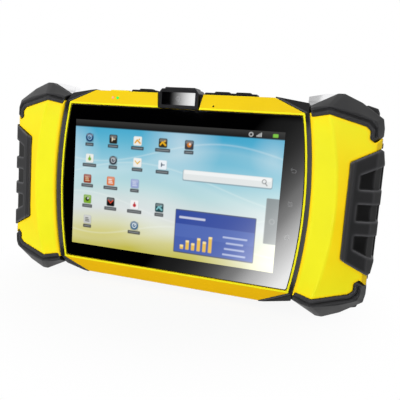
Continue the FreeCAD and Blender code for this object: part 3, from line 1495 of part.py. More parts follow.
def make_door_lock(label, way):
    """One quarter-turn lock of the battery door: a slotted head on a round stem."""
    body = new_body(label)
    centre = [(LOCK_X * way, 0)]
    neck = S.back_plane - S.lock_head_thick + S.seam
    add(body, "front", neck, S.back_plane, centre, S.lock_head)
    add(body, "front", BACK_INSIDE - S.lock_long + S.fit_gap, neck, centre, S.lock_stem)
    long, thin = S.lock_slot_long / 2, S.lock_slot_wide / 2
    cut(body, "front", S.back_plane - S.lock_slot_deep, S.back_plane,
        rectangle(LOCK_X * way - thin, LOCK_X * way + thin, -long, long))
    return place(body)


# ---------------------------------------------------------------- rear camera, screws, inserts


def make_rear_camera():
    """The rear camera: a square cell inside and a lens barrel through the wall."""
    body = new_body("rear_camera")
    x, z, half = REAR_CAMERA_X, REAR_CAMERA_Z, S.rear_cell / 2
    add(body, "front", BACK_INSIDE - S.rear_cell_deep, BACK_INSIDE, rectangle(x - half, x + half, z - half, z + half))
    add(body, "front", BACK_INSIDE, S.back_plane - S.rear_window_thick - S.seam * 2, [(x, z)], S.rear_lens)
    return place(body)


def make_rear_camera_window():
    """The round glass over the rear camera."""
    body = new_body("rear_camera_window")
    add(body, "front", S.back_plane - S.rear_window_thick - S.seam, S.back_plane - S.seam,
        [(REAR_CAMERA_X, REAR_CAMERA_Z)], S.rear_window)
    return place(body)


def make_flash_lens():
    """The clear lens of the camera's lamp."""
    body = new_body("flash_lens")
    add(body, "front", BACK_INSIDE, S.back_plane - S.seam, [(FLASH_X, REAR_CAMERA_Z)], S.flash_radius)
    return place(body)


def make_case_screws():
    """The twelve screws that close the housing from behind."""
    body = new_body("case_screws")
    head = S.back_plane - S.screw_sink
    add(body, "front", head - S.screw_head_tall, head, CASE_SCREWS, S.screw_head)
    add(body, "front", S.screw_tip_y, head - S.screw_head_tall, CASE_SCREWS, S.screw_shank)
    return place(body)


def make_side_screws():
    """The four screws in the grips' outer faces, above and below the pads."""
    body = new_body("side_screws")
    outer = GRIP_SIDE
    spots = [(S.side_screw_y, SIDE_SCREW_Z * v) for v in (-1, 1)]
    add(body, "side", outer, outer + S.side_screw_proud, spots, S.side_screw_head)
    add(body, "side", outer - S.side_screw_long, outer, spots, S.side_screw_shank)
    add(body, "side", -outer - S.side_screw_proud, -outer, spots, S.side_screw_head)
    add(body, "side", -outer, S.side_screw_long - outer, spots, S.side_screw_shank)
    return place(body)


def make_threaded_inserts():
    """The four brass inserts of the mounting pattern."""
    body = new_body("threaded_inserts")
    front = S.back_plane - S.insert_long
    add(body, "front", front, S.back_plane, INSERTS, S.insert_radius)
    cut(body, "front", front, S.back_plane, INSERTS, S.insert_bore)
    return place(body)


# ---------------------------------------------------------------- the whole part

overmould = make_overmould()
grip_shell = make_grip_shell()
grip_pad = make_grip_pad()
strap_bracket = make_strap_bracket()
rear_housing = make_rear_housing()
corner_room(rear_housing, S.seam, S.front_depth, S.back_plane, (1, -1))
rear_housing.Label = "rear_housing"
place(rear_housing)

keep(make_cover_glass(), make_glass_gasket(), make_lcd_panel())
keep(make_front_housing(), overmould, mirrored("overmould_left", overmould))
keep(grip_shell, mirrored("grip_shell_left", grip_shell))
keep(grip_pad, mirrored("grip_pad_left", grip_pad))
keep(*make_bumpers())
keep(strap_bracket, mirrored("strap_bracket_left", strap_bracket))
keep(make_camera_pod(), make_camera_window(), make_front_camera())
keep(*[make_key(label) for label in KEYS])
keep(make_key_strip("key_strip_left", "power"), make_key_strip("key_strip_right", "volume"), make_key_switches())
keep(make_port_cover(), make_port_hinge_pin(), make_usb_socket())
keep(make_light("charge_light", S.light_charge_x), make_light("power_light", S.light_power_x))
keep(make_dock_connector(), make_dock_contacts())
keep(make_mid_frame(), make_main_board(), make_shield_cans(), make_board_screws())
keep(make_gnss_antenna(), make_wireless_antenna(), make_speaker())
keep(rear_housing, make_housing_seal(), make_battery_pack(), make_battery_contacts())
keep(make_battery_door(), make_door_seal())
keep(make_door_lock("door_lock_left", -1), make_door_lock("door_lock_right", 1))
keep(make_rear_camera(), make_rear_camera_window(), make_flash_lens())
keep(make_case_screws(), make_side_screws(), make_threaded_inserts())

doc.recompute()
for thing in doc.Objects:
    if "Invalid" in thing.State or "Error" in thing.State:
        raise RuntimeError(f"{thing.Label} did not recompute")
os.makedirs("parts", exist_ok=True)
for piece in PIECES:
    if piece.Shape.isNull() or not piece.Shape.isValid():
        raise RuntimeError(f"{piece.Label} has no valid shape")
    piece.Shape.exportStep(f"parts/{piece.Label}.step")
    print(f"{piece.Label}: {len(piece.Shape.Solids)} solid(s), {piece.Shape.Volume / 1000:.2f} cm3")
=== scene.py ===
"""The looks of a rugged field data collector: a yellow and black tablet computer with a seven-inch screen.

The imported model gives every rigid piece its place. Each visible piece is finished here, in the order in
which the real one is put together: the inner parts, the glass with its lit screen and touch marks, the
yellow housing and grips, the rubber, the camera pod with the keys and lights, the steel brackets and the
rear housing. The studio that it stands in comes last.
"""

import json
import math

import bmesh
import bpy
import numpy as np
from mathutils import Matrix, Vector
from mathutils.bvhtree import BVHTree


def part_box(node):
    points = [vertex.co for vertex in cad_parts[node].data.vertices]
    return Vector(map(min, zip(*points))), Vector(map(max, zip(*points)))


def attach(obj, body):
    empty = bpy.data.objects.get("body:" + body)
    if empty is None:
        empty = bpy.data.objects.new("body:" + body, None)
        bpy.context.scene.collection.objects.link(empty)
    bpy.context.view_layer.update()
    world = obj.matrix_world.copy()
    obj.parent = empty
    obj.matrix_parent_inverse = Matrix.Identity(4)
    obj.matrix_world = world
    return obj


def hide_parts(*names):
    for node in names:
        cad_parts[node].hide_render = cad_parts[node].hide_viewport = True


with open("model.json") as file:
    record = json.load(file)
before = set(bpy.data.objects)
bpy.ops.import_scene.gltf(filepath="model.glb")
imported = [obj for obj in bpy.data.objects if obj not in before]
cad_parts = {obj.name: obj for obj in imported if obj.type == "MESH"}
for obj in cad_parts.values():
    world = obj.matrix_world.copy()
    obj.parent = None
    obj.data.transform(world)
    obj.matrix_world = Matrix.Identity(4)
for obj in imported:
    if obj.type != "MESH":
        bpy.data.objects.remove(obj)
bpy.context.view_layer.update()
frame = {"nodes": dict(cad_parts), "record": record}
scene = bpy.context.scene


# ---------------------------------------------------------------- circuit board and inner parts
# The board, its cans, the metal frame, antennas, speaker and battery contacts. They sit sealed inside the
# housing: moulded, stamped, cast and plated parts, each with the texture of how it was made.

MM = 0.001
nodes = frame["nodes"]


def linear(red, green, blue):
    """A display colour, 0 to 255 each, as linear light: (c / 255) to the power 2.2."""
    return tuple((c / 255) ** 2.2 for c in (red, green, blue)) + (1.0,)


def fill(tree, node, inputs):
    """Give a node's inputs, by name or by place, a number or a colour, or join another node's output."""
    for socket, value in dict(inputs).items():
        if isinstance(value, bpy.types.NodeSocket):
            tree.links.new(value, node.inputs[socket])
        else:
            node.inputs[socket].default_value = value


def add_node(tree, kind, inputs=(), **settings):
    """A new node of a tree, with its settings and inputs."""
    node = tree.nodes.new(kind)
    for name, value in settings.items():
        setattr(node, name, value)
    fill(tree, node, inputs)
    return node


def reckon(tree, operation, *values):
    """The output of a Math node that works on numbers and other nodes' outputs."""
    return add_node(tree, "ShaderNodeMath", enumerate(values), operation=operation).outputs[0]


def moulded_texture():
    """A node group: fine pits on a slow drift of shade. The height is fine noise. The shade is 1 plus twice
    the drift times slow noise about 0, plus the Edge lift input where the attribute rounded is 1, a painted
    highlight on edges, less the Hollow shade input where the attribute hollow is 1, painted shade in
    recesses. It scales the colour, or, where the attribute sloped is 1, the Slope color input, which paints
    light or shade on faces that turn away from the front. The roughness is its value times 1 plus 0.8 times
    the slow noise."""
    group = bpy.data.node_groups.new("moulded_texture", "ShaderNodeTree")
    for label, start in (
            ("Color", (0.5, 0.5, 0.5, 1)), ("Slope shading color", (0.5, 0.5, 0.5, 1)), ("Drift", 0.1),
            ("Roughness", 0.5), ("Pits per metre", 1600.0), ("Edge highlight", 0.0), ("Hollow shade", 0.0)):
        kind = "NodeSocketFloat" if isinstance(start, float) else "NodeSocketColor"
        group.interface.new_socket(label, in_out="INPUT", socket_type=kind).default_value = start
    for label, kind in (
            ("Color", "NodeSocketColor"), ("Roughness", "NodeSocketFloat"), ("Height", "NodeSocketFloat")):
        group.interface.new_socket(label, in_out="OUTPUT", socket_type=kind)
    given = add_node(group, "NodeGroupInput").outputs
    place = add_node(group, "ShaderNodeTexCoord").outputs["Object"]
    pits = add_node(
        group, "ShaderNodeTexNoise", {"Vector": place, "Scale": given["Pits per metre"], "Detail": 2.0})
    slow = add_node(group, "ShaderNodeTexNoise", {"Vector": place, "Scale": 45.0, "Detail": 3.0})
    centred = reckon(group, "SUBTRACT", slow.outputs["Fac"], 0.5)
    shade = reckon(group, "MULTIPLY_ADD", reckon(group, "MULTIPLY", centred, given["Drift"]), 2.0, 1.0)
    # a painted highlight along bent edges and painted shade in hollows
    for name, change, strength in (("edge_highlight", "ADD", "Edge highlight"), ("hollow", "SUBTRACT", "Hollow shade")):
        mark = add_node(group, "ShaderNodeAttribute", attribute_name=name).outputs["Fac"]
        shade = reckon(group, change, shade, reckon(group, "MULTIPLY", mark, given[strength]))
    # painted light or shade: faces that turn away from the front take the colour given for them
    slope_shading = add_node(group, "ShaderNodeAttribute", attribute_name="slope_shading").outputs["Fac"]
    ground = add_node(
        group, "ShaderNodeMix", {"Factor": slope_shading, "A": given["Color"], "B": given["Slope shading color"]},
        data_type="RGBA")
    tint = add_node(
        group, "ShaderNodeVectorMath", {0: ground.outputs["Result"], "Scale": shade}, operation="SCALE")
    uneven = reckon(group, "MULTIPLY_ADD", centred, 0.8, 1.0)
    add_node(group, "NodeGroupOutput", {
        "Color": tint.outputs[0],
        "Roughness": reckon(group, "MULTIPLY", uneven, given["Roughness"]),
        "Height": pits.outputs["Fac"]})
    return group


MOULDED = moulded_texture()


def finish(
        label, colour, roughness, pits=1600.0, depth=0.02, drift=0.1, edge=0.0, hollow=0.0, slope_shading_colour=None,
        **sockets):
    """A material: the moulded texture in a colour, with a bump of that depth in millimetres. The colour
    given for faces that turn away from the front paints light or shade on them; edge is a painted highlight
    on bent edges, and hollow is painted shade in hollows. The shader's other sockets are given by name,
    with underscores for spaces."""
    material = bpy.data.materials.new(label)
    material.use_nodes = True
    tree = material.node_tree
    texture = add_node(tree, "ShaderNodeGroup", {
        "Color": colour, "Slope shading color": slope_shading_colour or colour, "Drift": drift, "Roughness": roughness,
        "Pits per metre": pits, "Edge highlight": edge, "Hollow shade": hollow}, node_tree=MOULDED)
    bump = add_node(tree, "ShaderNodeBump", {
        "Strength": 0.6, "Distance": depth * MM, "Height": texture.outputs["Height"]})
    shader = tree.nodes["Principled BSDF"]
    fill(tree, shader, {
        "Base Color": texture.outputs["Color"], "Roughness": texture.outputs["Roughness"],
        "Normal": bump.outputs["Normal"]})
    fill(tree, shader, {name.replace("_", " "): value for name, value in sockets.items()})
    return material


def paint(material, *names):
    """Give CAD nodes their material."""
    for name in names:
        mesh = nodes[name].data
        mesh.materials.clear()
        mesh.materials.append(material)


solder_mask = finish(
    "solder_mask", linear(20, 92, 48), 0.38, pits=600, depth=0.01, drift=0.25, Coat_Weight=0.3)
cast_magnesium = finish("cast_magnesium", linear(176, 176, 172), 0.5, pits=2200, depth=0.03, Metallic=0.9)
tinned_sheet = finish("tinned_sheet", linear(196, 196, 192), 0.3, pits=500, depth=0.005, Metallic=1.0)
fired_ceramic = finish("fired_ceramic", linear(206, 196, 170), 0.55, pits=2600, depth=0.01, drift=0.15)
gold_plate = finish("gold_plate", linear(222, 180, 92), 0.22, pits=900, depth=0.003, Metallic=1.0)
inner_plastic = finish("inner_plastic", linear(34, 34, 36), 0.5, pits=1800, depth=0.01)
battery_case = finish("battery_case", linear(62, 63, 66), 0.5, pits=1500, drift=0.15)
foam = finish("foam", linear(30, 30, 31), 0.85, pits=3200, depth=0.05, drift=0.3)
paint(solder_mask, "main_board", "wireless_antenna")
paint(cast_magnesium, "mid_frame")
paint(tinned_sheet, "shield_cans", "key_switches", "usb_socket", "board_screws")
paint(fired_ceramic, "gnss_antenna")
paint(gold_plate, "battery_contacts")
paint(inner_plastic, "speaker", "front_camera", "rear_camera", "lcd_panel")
paint(battery_case, "battery_pack")
paint(foam, "glass_gasket", "housing_seal", "door_seal")


# ---------------------------------------------------------------- cover glass
# A sheet of hardened glass, printed black on its back round the screen and polished along its edge.

bodies = frame["record"]["behaviour"]["bodies"]
body_of = {node: body for body, members in bodies.items() for node in members}
DOUBLE = 0.002  # points that lie closer together, in millimetres, are one
FLAT, SHARP = 0.6, 25.0  # degrees: an edge that turns by less is no edge, one that turns by more is rounded
STEEP, LEVEL = 0.957, 0.986  # the forward part of a sloping face's normal, and of a level one's
# how much painted shade, the colour given for sloping faces, a moulded facet takes when it faces downwards,
# upwards or sideways, and the least that a face on the top takes
DOWNWARD, UPWARD, SIDEWAYS, TOPMOST = 1.0, 0.7, 0.15, 0.33


def slope_shading_share(forward):
    """The share of painted light or shade: 0 for a face that looks forward and 1 for one that slopes away;
    1 less a smooth step of how far forward its normal points, from STEEP to LEVEL."""
    share = np.clip((forward - STEEP) / (LEVEL - STEEP), 0, 1)
    return 1 - share * share * (3 - 2 * share)


def facet_shading_share(normal):
    """How much painted shade, the colour given for sloping faces, a moulded facet takes, by the way it
    faces. The share fades out where the normal's forward part falls from 0.8 to 0.6."""
    share = DOWNWARD if normal.z < -0.1 else UPWARD if normal.z > 0.1 else SIDEWAYS
    share *= min(max((-normal.y - 0.6) / 0.2, 0), 1)
    return max(share, TOPMOST) if normal.z > 0.7 else share


def merged(node, join_flat=True):
    """The skin of a CAD node with its doubles merged and, unless told otherwise, its flat faces joined."""
    shape = bmesh.new()
    shape.from_mesh(nodes[node].data)
    bmesh.ops.remove_doubles(shape, verts=shape.verts, dist=DOUBLE * MM)
    if join_flat:
        bmesh.ops.dissolve_limit(
            shape, angle_limit=math.radians(FLAT), verts=shape.verts, edges=shape.edges, delimit={"NORMAL"})
    return shape


def piece_of(label, shape):
    """A new piece from a finished skin."""
    mesh = bpy.data.meshes.new(label)
    shape.to_mesh(mesh)
    shape.free()
    piece = bpy.data.objects.new(label, mesh)
    scene.collection.objects.link(piece)
    return piece


def rounded_copy(node, label, width):
    """A copy of a CAD node with its sharp edges eased off by a bevel of width millimetres. The new faces
    carry the attribute rounded = 1, for a painted highlight, and all faces the attribute sloped, for
    painted shade by the way they face."""
    shape = merged(node)
    edge_highlight = shape.faces.layers.float.new("edge_highlight")
    skin = BVHTree.FromBMesh(shape)
    sharp = [edge for edge in shape.edges if math.degrees(edge.calc_face_angle(0.0)) > SHARP]
    made = bmesh.ops.bevel(
        shape, geom=sharp, offset=width * MM, offset_type="OFFSET", segments=2, profile=0.5,
        affect="EDGES", clamp_overlap=False, loop_slide=True)
    for face in made["faces"]:
        face[edge_highlight] = 1.0
    # where short edges meet, a rounded corner can shoot out: such a point goes back to the surface
    for point in {point for face in made["faces"] for point in face.verts}:
        nearest, _, _, away = skin.find_nearest(point.co)
        if away > 0.7 * width * MM:
            point.co = nearest
    bmesh.ops.remove_doubles(shape, verts=shape.verts, dist=DOUBLE / 2 * MM)
    slope_shading = shape.faces.layers.float.new("slope_shading")
    for face in shape.faces:
        face.normal_update()
        face[slope_shading] = slope_shading_share(-face.normal.y) * facet_shading_share(face.normal)
    piece = piece_of(label, shape)
    piece.data.shade_smooth()
    piece.data.set_sharp_from_angle(angle=math.radians(40))
    even = piece.modifiers.new("even_shading", "WEIGHTED_NORMAL")
    even.keep_sharp = True
    even.weight = 80
    return piece


def fit(piece, material, body):
    """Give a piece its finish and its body."""
    piece.data.materials.append(material)
    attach(piece, body)


def stand_in(piece, node, material):
    """The piece takes the place of a CAD node, with its body."""
    fit(piece, material, body_of[node])
    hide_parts(node)


black_glass = finish("black_glass", linear(6, 6, 7), 0.03, pits=60, depth=0.0005, drift=0.2, IOR=1.8)
stand_in(rounded_copy("cover_glass", "printed_cover_glass", 0.15), "cover_glass", black_glass)


# ---------------------------------------------------------------- lit screen
# The picture that the display shows through the glass: a plain home screen with a soft sky, rows of small
# tiles over dark name bars, a search field, a chart card and a status bar. It is a grid of points with a
# worked-out colour each.

SCREEN_WIDE, SCREEN_TALL = 152.4, 91.44
PROUD, SUNK = 0.02, 0.15  # how far the picture lies before the glass's front face, and its back behind it
COLUMNS, ROWS = 340, 204
GLASS_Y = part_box("cover_glass")[0][1] / MM
MIDDLE_Z = np.mean(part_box("cover_glass"), 0)[2] / MM
SCREEN_X, _, SCREEN_Z = np.mean(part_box("lcd_panel"), 0) / MM


def sheet(columns, rows, wide, tall):
    """Points of a flat grid, evenly spaced over wide and tall about its middle, as two arrays."""
    return np.meshgrid(
        np.linspace(-wide / 2, wide / 2, columns + 1), np.linspace(-tall / 2, tall / 2, rows + 1))


class Picture:
    """Colours on the grid. Each shape is laid over the last: colour * share + old * (1 - share), where
    the share falls from the shape's cover to 0 across its soft edge, in millimetres."""

    def __init__(self, x, z):
        self.x, self.z = x, z
        self.colour = np.zeros(x.shape + (3,))

    def lay(self, distance, colour, cover=1.0, soft=0.45):
        """Lay a colour wherever the distance, in millimetres, to a shape is below 0."""
        share = np.clip(0.5 - distance / soft, 0, 1)[..., None] * cover
        self.colour = self.colour * (1 - share) + np.array(linear(*colour)[:3]) * share

    def box(self, x, z, wide, tall, colour, cover=1.0, corner=0.4):
        """Distance to a rounded box: length of the outside part of |p| - half + corner, less corner."""
        beyond_x = np.abs(self.x - x) - wide / 2 + corner
        beyond_z = np.abs(self.z - z) - tall / 2 + corner
        outside = np.hypot(np.maximum(beyond_x, 0), np.maximum(beyond_z, 0))
        inside = np.minimum(np.maximum(beyond_x, beyond_z), 0)
        self.lay(outside + inside - corner, colour, cover)

    def disc(self, x, z, radius, colour, cover=1.0, soft=0.45):
        """Distance to a disc: distance from its middle less its radius."""
        self.lay(np.hypot(self.x - x, self.z - z) - radius, colour, cover, soft)

    def ring(self, x, z, radius, thick, colour, cover=1.0):
        """Distance to a ring: how far the point is from the circle, less half the line."""
        self.lay(np.abs(np.hypot(self.x - x, self.z - z) - radius) - thick / 2, colour, cover)

    def stroke(self, ax, az, bx, bz, thick, colour, cover=1.0):
        """Distance to a round-ended line from a to b, less half its thickness."""
        run_x, run_z = bx - ax, bz - az
        part = ((self.x - ax) * run_x + (self.z - az) * run_z) / (run_x ** 2 + run_z ** 2)
        part = np.clip(part, 0, 1)
        off_x, off_z = self.x - ax - part * run_x, self.z - az - part * run_z
        self.lay(np.hypot(off_x, off_z) - thick / 2, colour, cover)


def sky(picture):
    """A blue top that pales downwards and ends in warm straw, crossed by four faint waves."""
    height = picture.z / SCREEN_TALL + 0.5
    stops = (0.0, 0.1, 0.2, 0.3, 0.4, 0.5, 0.6, 0.72, 0.83, 0.9, 1.0)
    tones = np.array([linear(*tone)[:3] for tone in (
        (192, 184, 78), (208, 202, 122), (216, 218, 186), (214, 220, 220), (206, 221, 221), (184, 217, 221),
        (162, 208, 220), (132, 194, 216), (98, 180, 209), (80, 171, 206), (62, 160, 199))])
    lean = height + 0.03 * np.sin(picture.x / 26.0) - picture.x / SCREEN_WIDE * 0.03
    for channel in range(3):
        picture.colour[..., channel] = np.interp(lean, stops, tones[:, channel])
    for x, z, reach, cover in (
            (-84, 22, 30, 0.55), (6, 34, 30, 0.5), (70, 30, 16, 0.3), (66, -34, 46, 0.5),
            (-10, -20, 30, 0.3)):
        picture.disc(x, z, reach * 0.5, (232, 240, 242), cover, soft=reach)
    for rise, swell, length, start in (
            (26, 9, 31, 0.4), (6, 12, 38, 2.2), (-14, 8, 27, 4.0), (-30, 6, 22, 1.2)):
        crest = picture.z - rise - swell * np.sin(picture.x / length + start)
        picture.lay(np.abs(crest + 5) - 3, (246, 250, 246), 0.16, soft=9.0)
        picture.lay(np.abs(crest) - 0.25, (244, 250, 246), 0.34, soft=1.4)


TILES = (
    # column, row, tile colour, figure, figure colour
    (0, 0, (28, 62, 104), "ring", (150, 196, 226)),
    (1, 0, (46, 42, 34), "play", (222, 214, 190)),
    (2, 0, (236, 236, 230), "hill", (226, 160, 38)),
    (3, 0, (60, 52, 34), "hill", (236, 178, 42)),
    (4, 0, (64, 68, 76), "disc", (206, 122, 44)),
    (0, 1, (232, 234, 228), "drop", (120, 174, 60)),
    (1, 1, (54, 60, 68), "ring", (196, 204, 212)),
    (2, 1, (238, 238, 234), "chevron", (226, 178, 52)),
    (3, 1, (232, 240, 246), "play", (84, 96, 112)),
    (0, 2, (150, 66, 40), "bars", (226, 196, 158)),
    (1, 2, (216, 120, 74), "bars", (242, 240, 236)),
    (2, 2, (150, 164, 208), "bars", (206, 214, 236)),
    (0, 3, (126, 170, 52), "disc", (44, 60, 30)),
    (1, 3, (22, 22, 24), "chevron", (214, 80, 60)),
    (2, 3, (240, 240, 240), "drop", (190, 52, 60)),
    (3, 3, (40, 74, 80), "hill", (126, 190, 196)),
    (0, 4, (196, 198, 196), "bars", (70, 72, 76)),
    (2, 4, (70, 108, 138), "ring", (226, 236, 242)),
)
TILE = 6.3
TILE_X, TILE_Z, PITCH_X, PITCH_Z = -64.5, 33.2, 19.2, 15.0  # the first tile's middle, and their spacing


def tile(picture, x, z, colour, figure, ink):
    """One tile of the home screen: a rounded square or a disc with a simple figure."""
    picture.box(x + 0.25, z - 0.3, TILE, TILE, (30, 40, 48), 0.35, corner=1.0)
    if figure == "ring":
        picture.disc(x, z, TILE / 2, colour)
    else:
        picture.box(x, z, TILE, TILE, colour, corner=0.9)
    picture.box(x, z + TILE * 0.27, TILE * 0.8, TILE * 0.3, (255, 255, 255), 0.16, corner=0.7)
    if figure == "ring":
        picture.ring(x, z, 1.5, 0.55, ink)
        picture.stroke(x, z, x + 0.7, z + 0.9, 0.5, ink)
    elif figure == "play":
        for step in np.linspace(0, 1, 4):
            edge, half = x - 0.9 + step * 0.5, 1.3 - step * 1.1
            picture.stroke(edge, z + half, edge, z - half, 0.6, ink)
        picture.stroke(x - 0.8, z, x + 1.3, z, 0.7, ink)
    elif figure == "hill":
        picture.stroke(x - 1.9, z - 1.3, x - 0.4, z + 0.6, 1.0, ink)
        picture.stroke(x - 0.4, z + 0.6, x + 1.9, z - 1.4, 1.2, ink)
        picture.disc(x + 1.2, z + 1.2, 0.6, ink)
    elif figure == "disc":
        picture.disc(x, z, 1.6, ink)
        picture.disc(x + 0.5, z + 0.5, 0.7, (240, 240, 236), 0.8)
    elif figure == "drop":
        picture.disc(x, z - 0.5, 1.3, ink)
        picture.stroke(x, z - 0.3, x, z + 1.6, 0.8, ink)
    elif figure == "chevron":
        picture.stroke(x - 1.8, z + 1.0, x, z - 0.8, 0.8, ink)
        picture.stroke(x, z - 0.8, x + 1.8, z + 1.0, 0.8, ink)
    elif figure == "bars":
        for level in (-1.4, -0.2, 1.0):
            picture.stroke(x - 1.5, z + level, x + 1.5 - (level + 1.4) * 0.4, z + level, 0.6, ink)


def search_field(picture):
    """A pale rounded field, with a lens mark at its right end."""
    grey = (120, 122, 124)
    picture.box(40, 12.6, 62, 7.6, (132, 150, 160), 0.8, corner=1.2)
    picture.box(40, 13.0, 61.2, 6.8, (226, 230, 230), 1.0, corner=1.0)
    picture.box(40, 14.8, 60, 2.4, (246, 248, 248), 0.7, corner=1.0)
    picture.ring(65.4, 13.4, 1.3, 0.5, grey)
    picture.stroke(66.3, 12.3, 67.4, 11.0, 0.6, grey)


def chart_card(picture):
    """A blue card with a title band, six bars that stand on one line and four lines beside them."""
    picture.box(34, -26.2, 57, 30.4, (38, 52, 100), 0.9, corner=0.8)
    picture.box(34, -16.4, 56, 9.4, (58, 80, 158), 1.0, corner=0.6)
    picture.box(34, -30.8, 56, 19.6, (72, 96, 172), 1.0, corner=0.6)
    picture.box(34, -25.5, 56, 9.0, (92, 116, 188), 0.4, corner=0.6)
    picture.box(18, -16.4, 19, 1.5, (228, 232, 244), 0.75, corner=0.5)
    foot = -38.6
    for step, tall in enumerate((3.0, 6.5, 5.0, 9.0, 7.2, 11.0)):
        bar_x = 11.5 + step * 4.1
        picture.box(bar_x, foot + tall / 2, 2.4, tall, (238, 192, 74), 0.95, corner=0.4)
        picture.box(bar_x, foot + tall - 0.7, 2.4, 1.4, (250, 232, 168), 0.9, corner=0.4)
    for step in range(4):
        picture.box(49, -26.4 - step * 3.9, 17 - (step * 5) % 7, 1.2, (196, 206, 234), 0.75, corner=0.4)


def status_bar(picture):
    """A dark bar along the top, with a ring, four steps of signal and a green battery mark."""
    foot, pale = SCREEN_TALL / 2 - 5.0, (206, 208, 208)
    picture.lay(foot - picture.z, (38, 38, 38))
    picture.lay(foot + 2.6 - picture.z, (58, 58, 57), 0.8, soft=3.0)
    for step in range(4):
        tall = 1.0 + step * 0.56
        picture.box(58.2 + step * 0.9, foot + 1.1 + tall / 2, 0.55, tall, pale, corner=0.1)
    picture.ring(54.2, foot + 2.4, 1.2, 0.5, pale)
    picture.box(70.2, foot + 2.4, 3.4, 2.2, (124, 196, 70), corner=0.5)


def home_screen(x, z):
    """The colour of the home screen at each point of the grid: the sky, the tiles with a name bar under
    each, the field, the card, a drawer tab on the right edge and the status bar."""
    picture = Picture(x, z)
    sky(picture)
    for column, row, colour, figure, ink in TILES:
        middle_x = TILE_X + PITCH_X * column + 0.7 * math.sin(row * 2.1)
        middle_z = TILE_Z - PITCH_Z * row
        tile(picture, middle_x, middle_z, colour, figure, ink)
        name_wide = 5.6 + (column * 5 + row * 3) % 4 * 1.5
        picture.box(middle_x, middle_z - 5.0, name_wide + 1.2, 2.5, (62, 64, 68), 0.95, corner=0.5)
        picture.box(middle_x, middle_z - 5.0, name_wide - 0.6, 0.6, (186, 192, 196), 0.45, corner=0.25)
    search_field(picture)
    chart_card(picture)
    picture.box(72.3, -12.0, 8.6, 30.0, (122, 128, 130), 0.92, corner=0.6)
    picture.ring(72.6, -12.0, 1.6, 0.5, (170, 174, 176), 0.6)
    status_bar(picture)
    return picture.colour


def grid_faces(columns, rows):
    """The four corners of each square of a grid, seen from the front, as rows of indices."""
    first = (np.arange(rows)[:, None] * (columns + 1) + np.arange(columns)).ravel()
    return np.stack([first, first + 1, first + columns + 2, first + columns + 1], 1)


def mesh_piece(label, points, faces):
    """A new piece from points, in millimetres of the part's frame, and faces, which are turned outwards."""
    mesh = bpy.data.meshes.new(label)
    mesh.from_pydata((np.asarray(points, float) * MM).tolist(), [], faces)
    shape = bmesh.new()
    shape.from_mesh(mesh)
    bpy.data.meshes.remove(mesh)
    bmesh.ops.recalc_face_normals(shape, faces=shape.faces)
    return piece_of(label, shape)


# the grid in front, four corners behind it, and one face from each rim of the grid to the back
screen_x, screen_z = sheet(COLUMNS, ROWS, SCREEN_WIDE, SCREEN_TALL)
front = np.stack([screen_x + SCREEN_X, np.full_like(screen_x, GLASS_Y - PROUD), screen_z + SCREEN_Z], -1)
front = front.reshape(-1, 3)
count = len(front)
back = front[[0, COLUMNS, count - 1, count - 1 - COLUMNS]] + (0, PROUD + SUNK, 0)
rims = (
    np.arange(COLUMNS + 1), np.arange(ROWS + 1) * (COLUMNS + 1) + COLUMNS,
    np.arange(count - 1, count - 2 - COLUMNS, -1), np.arange(ROWS, -1, -1) * (COLUMNS + 1))
faces = grid_faces(COLUMNS, ROWS).tolist() + [[count + 3, count + 2, count + 1, count]]
for start, rim in enumerate(rims):
    faces.append(rim[::-1].tolist() + [count + start, count + (start + 1) % len(rims)])
lit_screen = mesh_piece("lit_screen", np.vstack([front, back]), faces)
glow = lit_screen.data.color_attributes.new("picture", "FLOAT_COLOR", "POINT")
values = np.ones((count + len(back), 4))
values[:count, :3] = home_screen(screen_x, screen_z).reshape(-1, 3)
values[count:, :3] = 0.02  # the back is dark
glow.data.foreach_set("color", values.ravel())
screen_glow = finish(
    "screen_glow", linear(4, 4, 4), 0.03, pits=60, depth=0.0005, drift=0.2, IOR=1.8, Emission_Strength=1.0)
tree = screen_glow.node_tree
reader = add_node(tree, "ShaderNodeAttribute", attribute_name="picture")
fill(tree, tree.nodes["Principled BSDF"], {"Emission Color": reader.outputs["Color"]})
fit(lit_screen, screen_glow, "unit")


# ---------------------------------------------------------------- touch marks
# Three grey marks printed on the glass beside the screen: back, list and home. Each is a few strokes of
# ink, a flat ribbon with round ends that stands a hair proud of the glass.

MARK_X, MARK_SCALE = 80.5, 0.86
LINE, INK, STAGGER = 0.45, 0.02, 0.0001  # a stroke's width, how far it stands proud, and a step of that


def ink_strokes(label, strokes, plane=GLASS_Y):
    """A piece of flat strokes. Each stroke is a loop round a line from a to b: a half circle of the line's
    half width about each end, joined into one outline; the outline is a face in front, and its rim goes
    back through the surface at y = plane. Strokes are (ax, az, bx, bz), millimetres from the cover glass's
    middle."""
    points, faces = [], []
    half = np.linspace(math.pi / 2, 3 * math.pi / 2, 9)
    for ax, az, bx, bz in strokes:
        turn = half + math.atan2(bz - az, bx - ax)
        out_x, out_z = np.cos(turn) * LINE / 2, np.sin(turn) * LINE / 2
        loop_x = np.concatenate([ax + out_x, bx - out_x])
        loop_z = np.concatenate([az + out_z, bz - out_z]) + MIDDLE_Z
        size = len(loop_x)
        front = len(points) + np.arange(size)
        back, ahead = front + size, np.roll(front, -1)
        lift = INK + len(faces) * STAGGER  # where strokes cross, their faces aren't in one plane
        for depth in (plane - lift, plane + lift):
            points += np.stack([loop_x, np.full(size, depth), loop_z], 1).tolist()
        faces += [front.tolist(), back[::-1].tolist()]
        faces += np.stack([front, back, ahead + size, ahead], 1).tolist()
    return mesh_piece(label, points, faces)


def arc(x, z, radius, first, last, steps=10):
    """Strokes along part of a circle, from one angle to another in degrees."""
    turn = np.radians(np.linspace(first, last, steps + 1))
    ring_x, ring_z = x + radius * np.cos(turn), z + radius * np.sin(turn)
    return list(zip(ring_x[:-1], ring_z[:-1], ring_x[1:], ring_z[1:]))


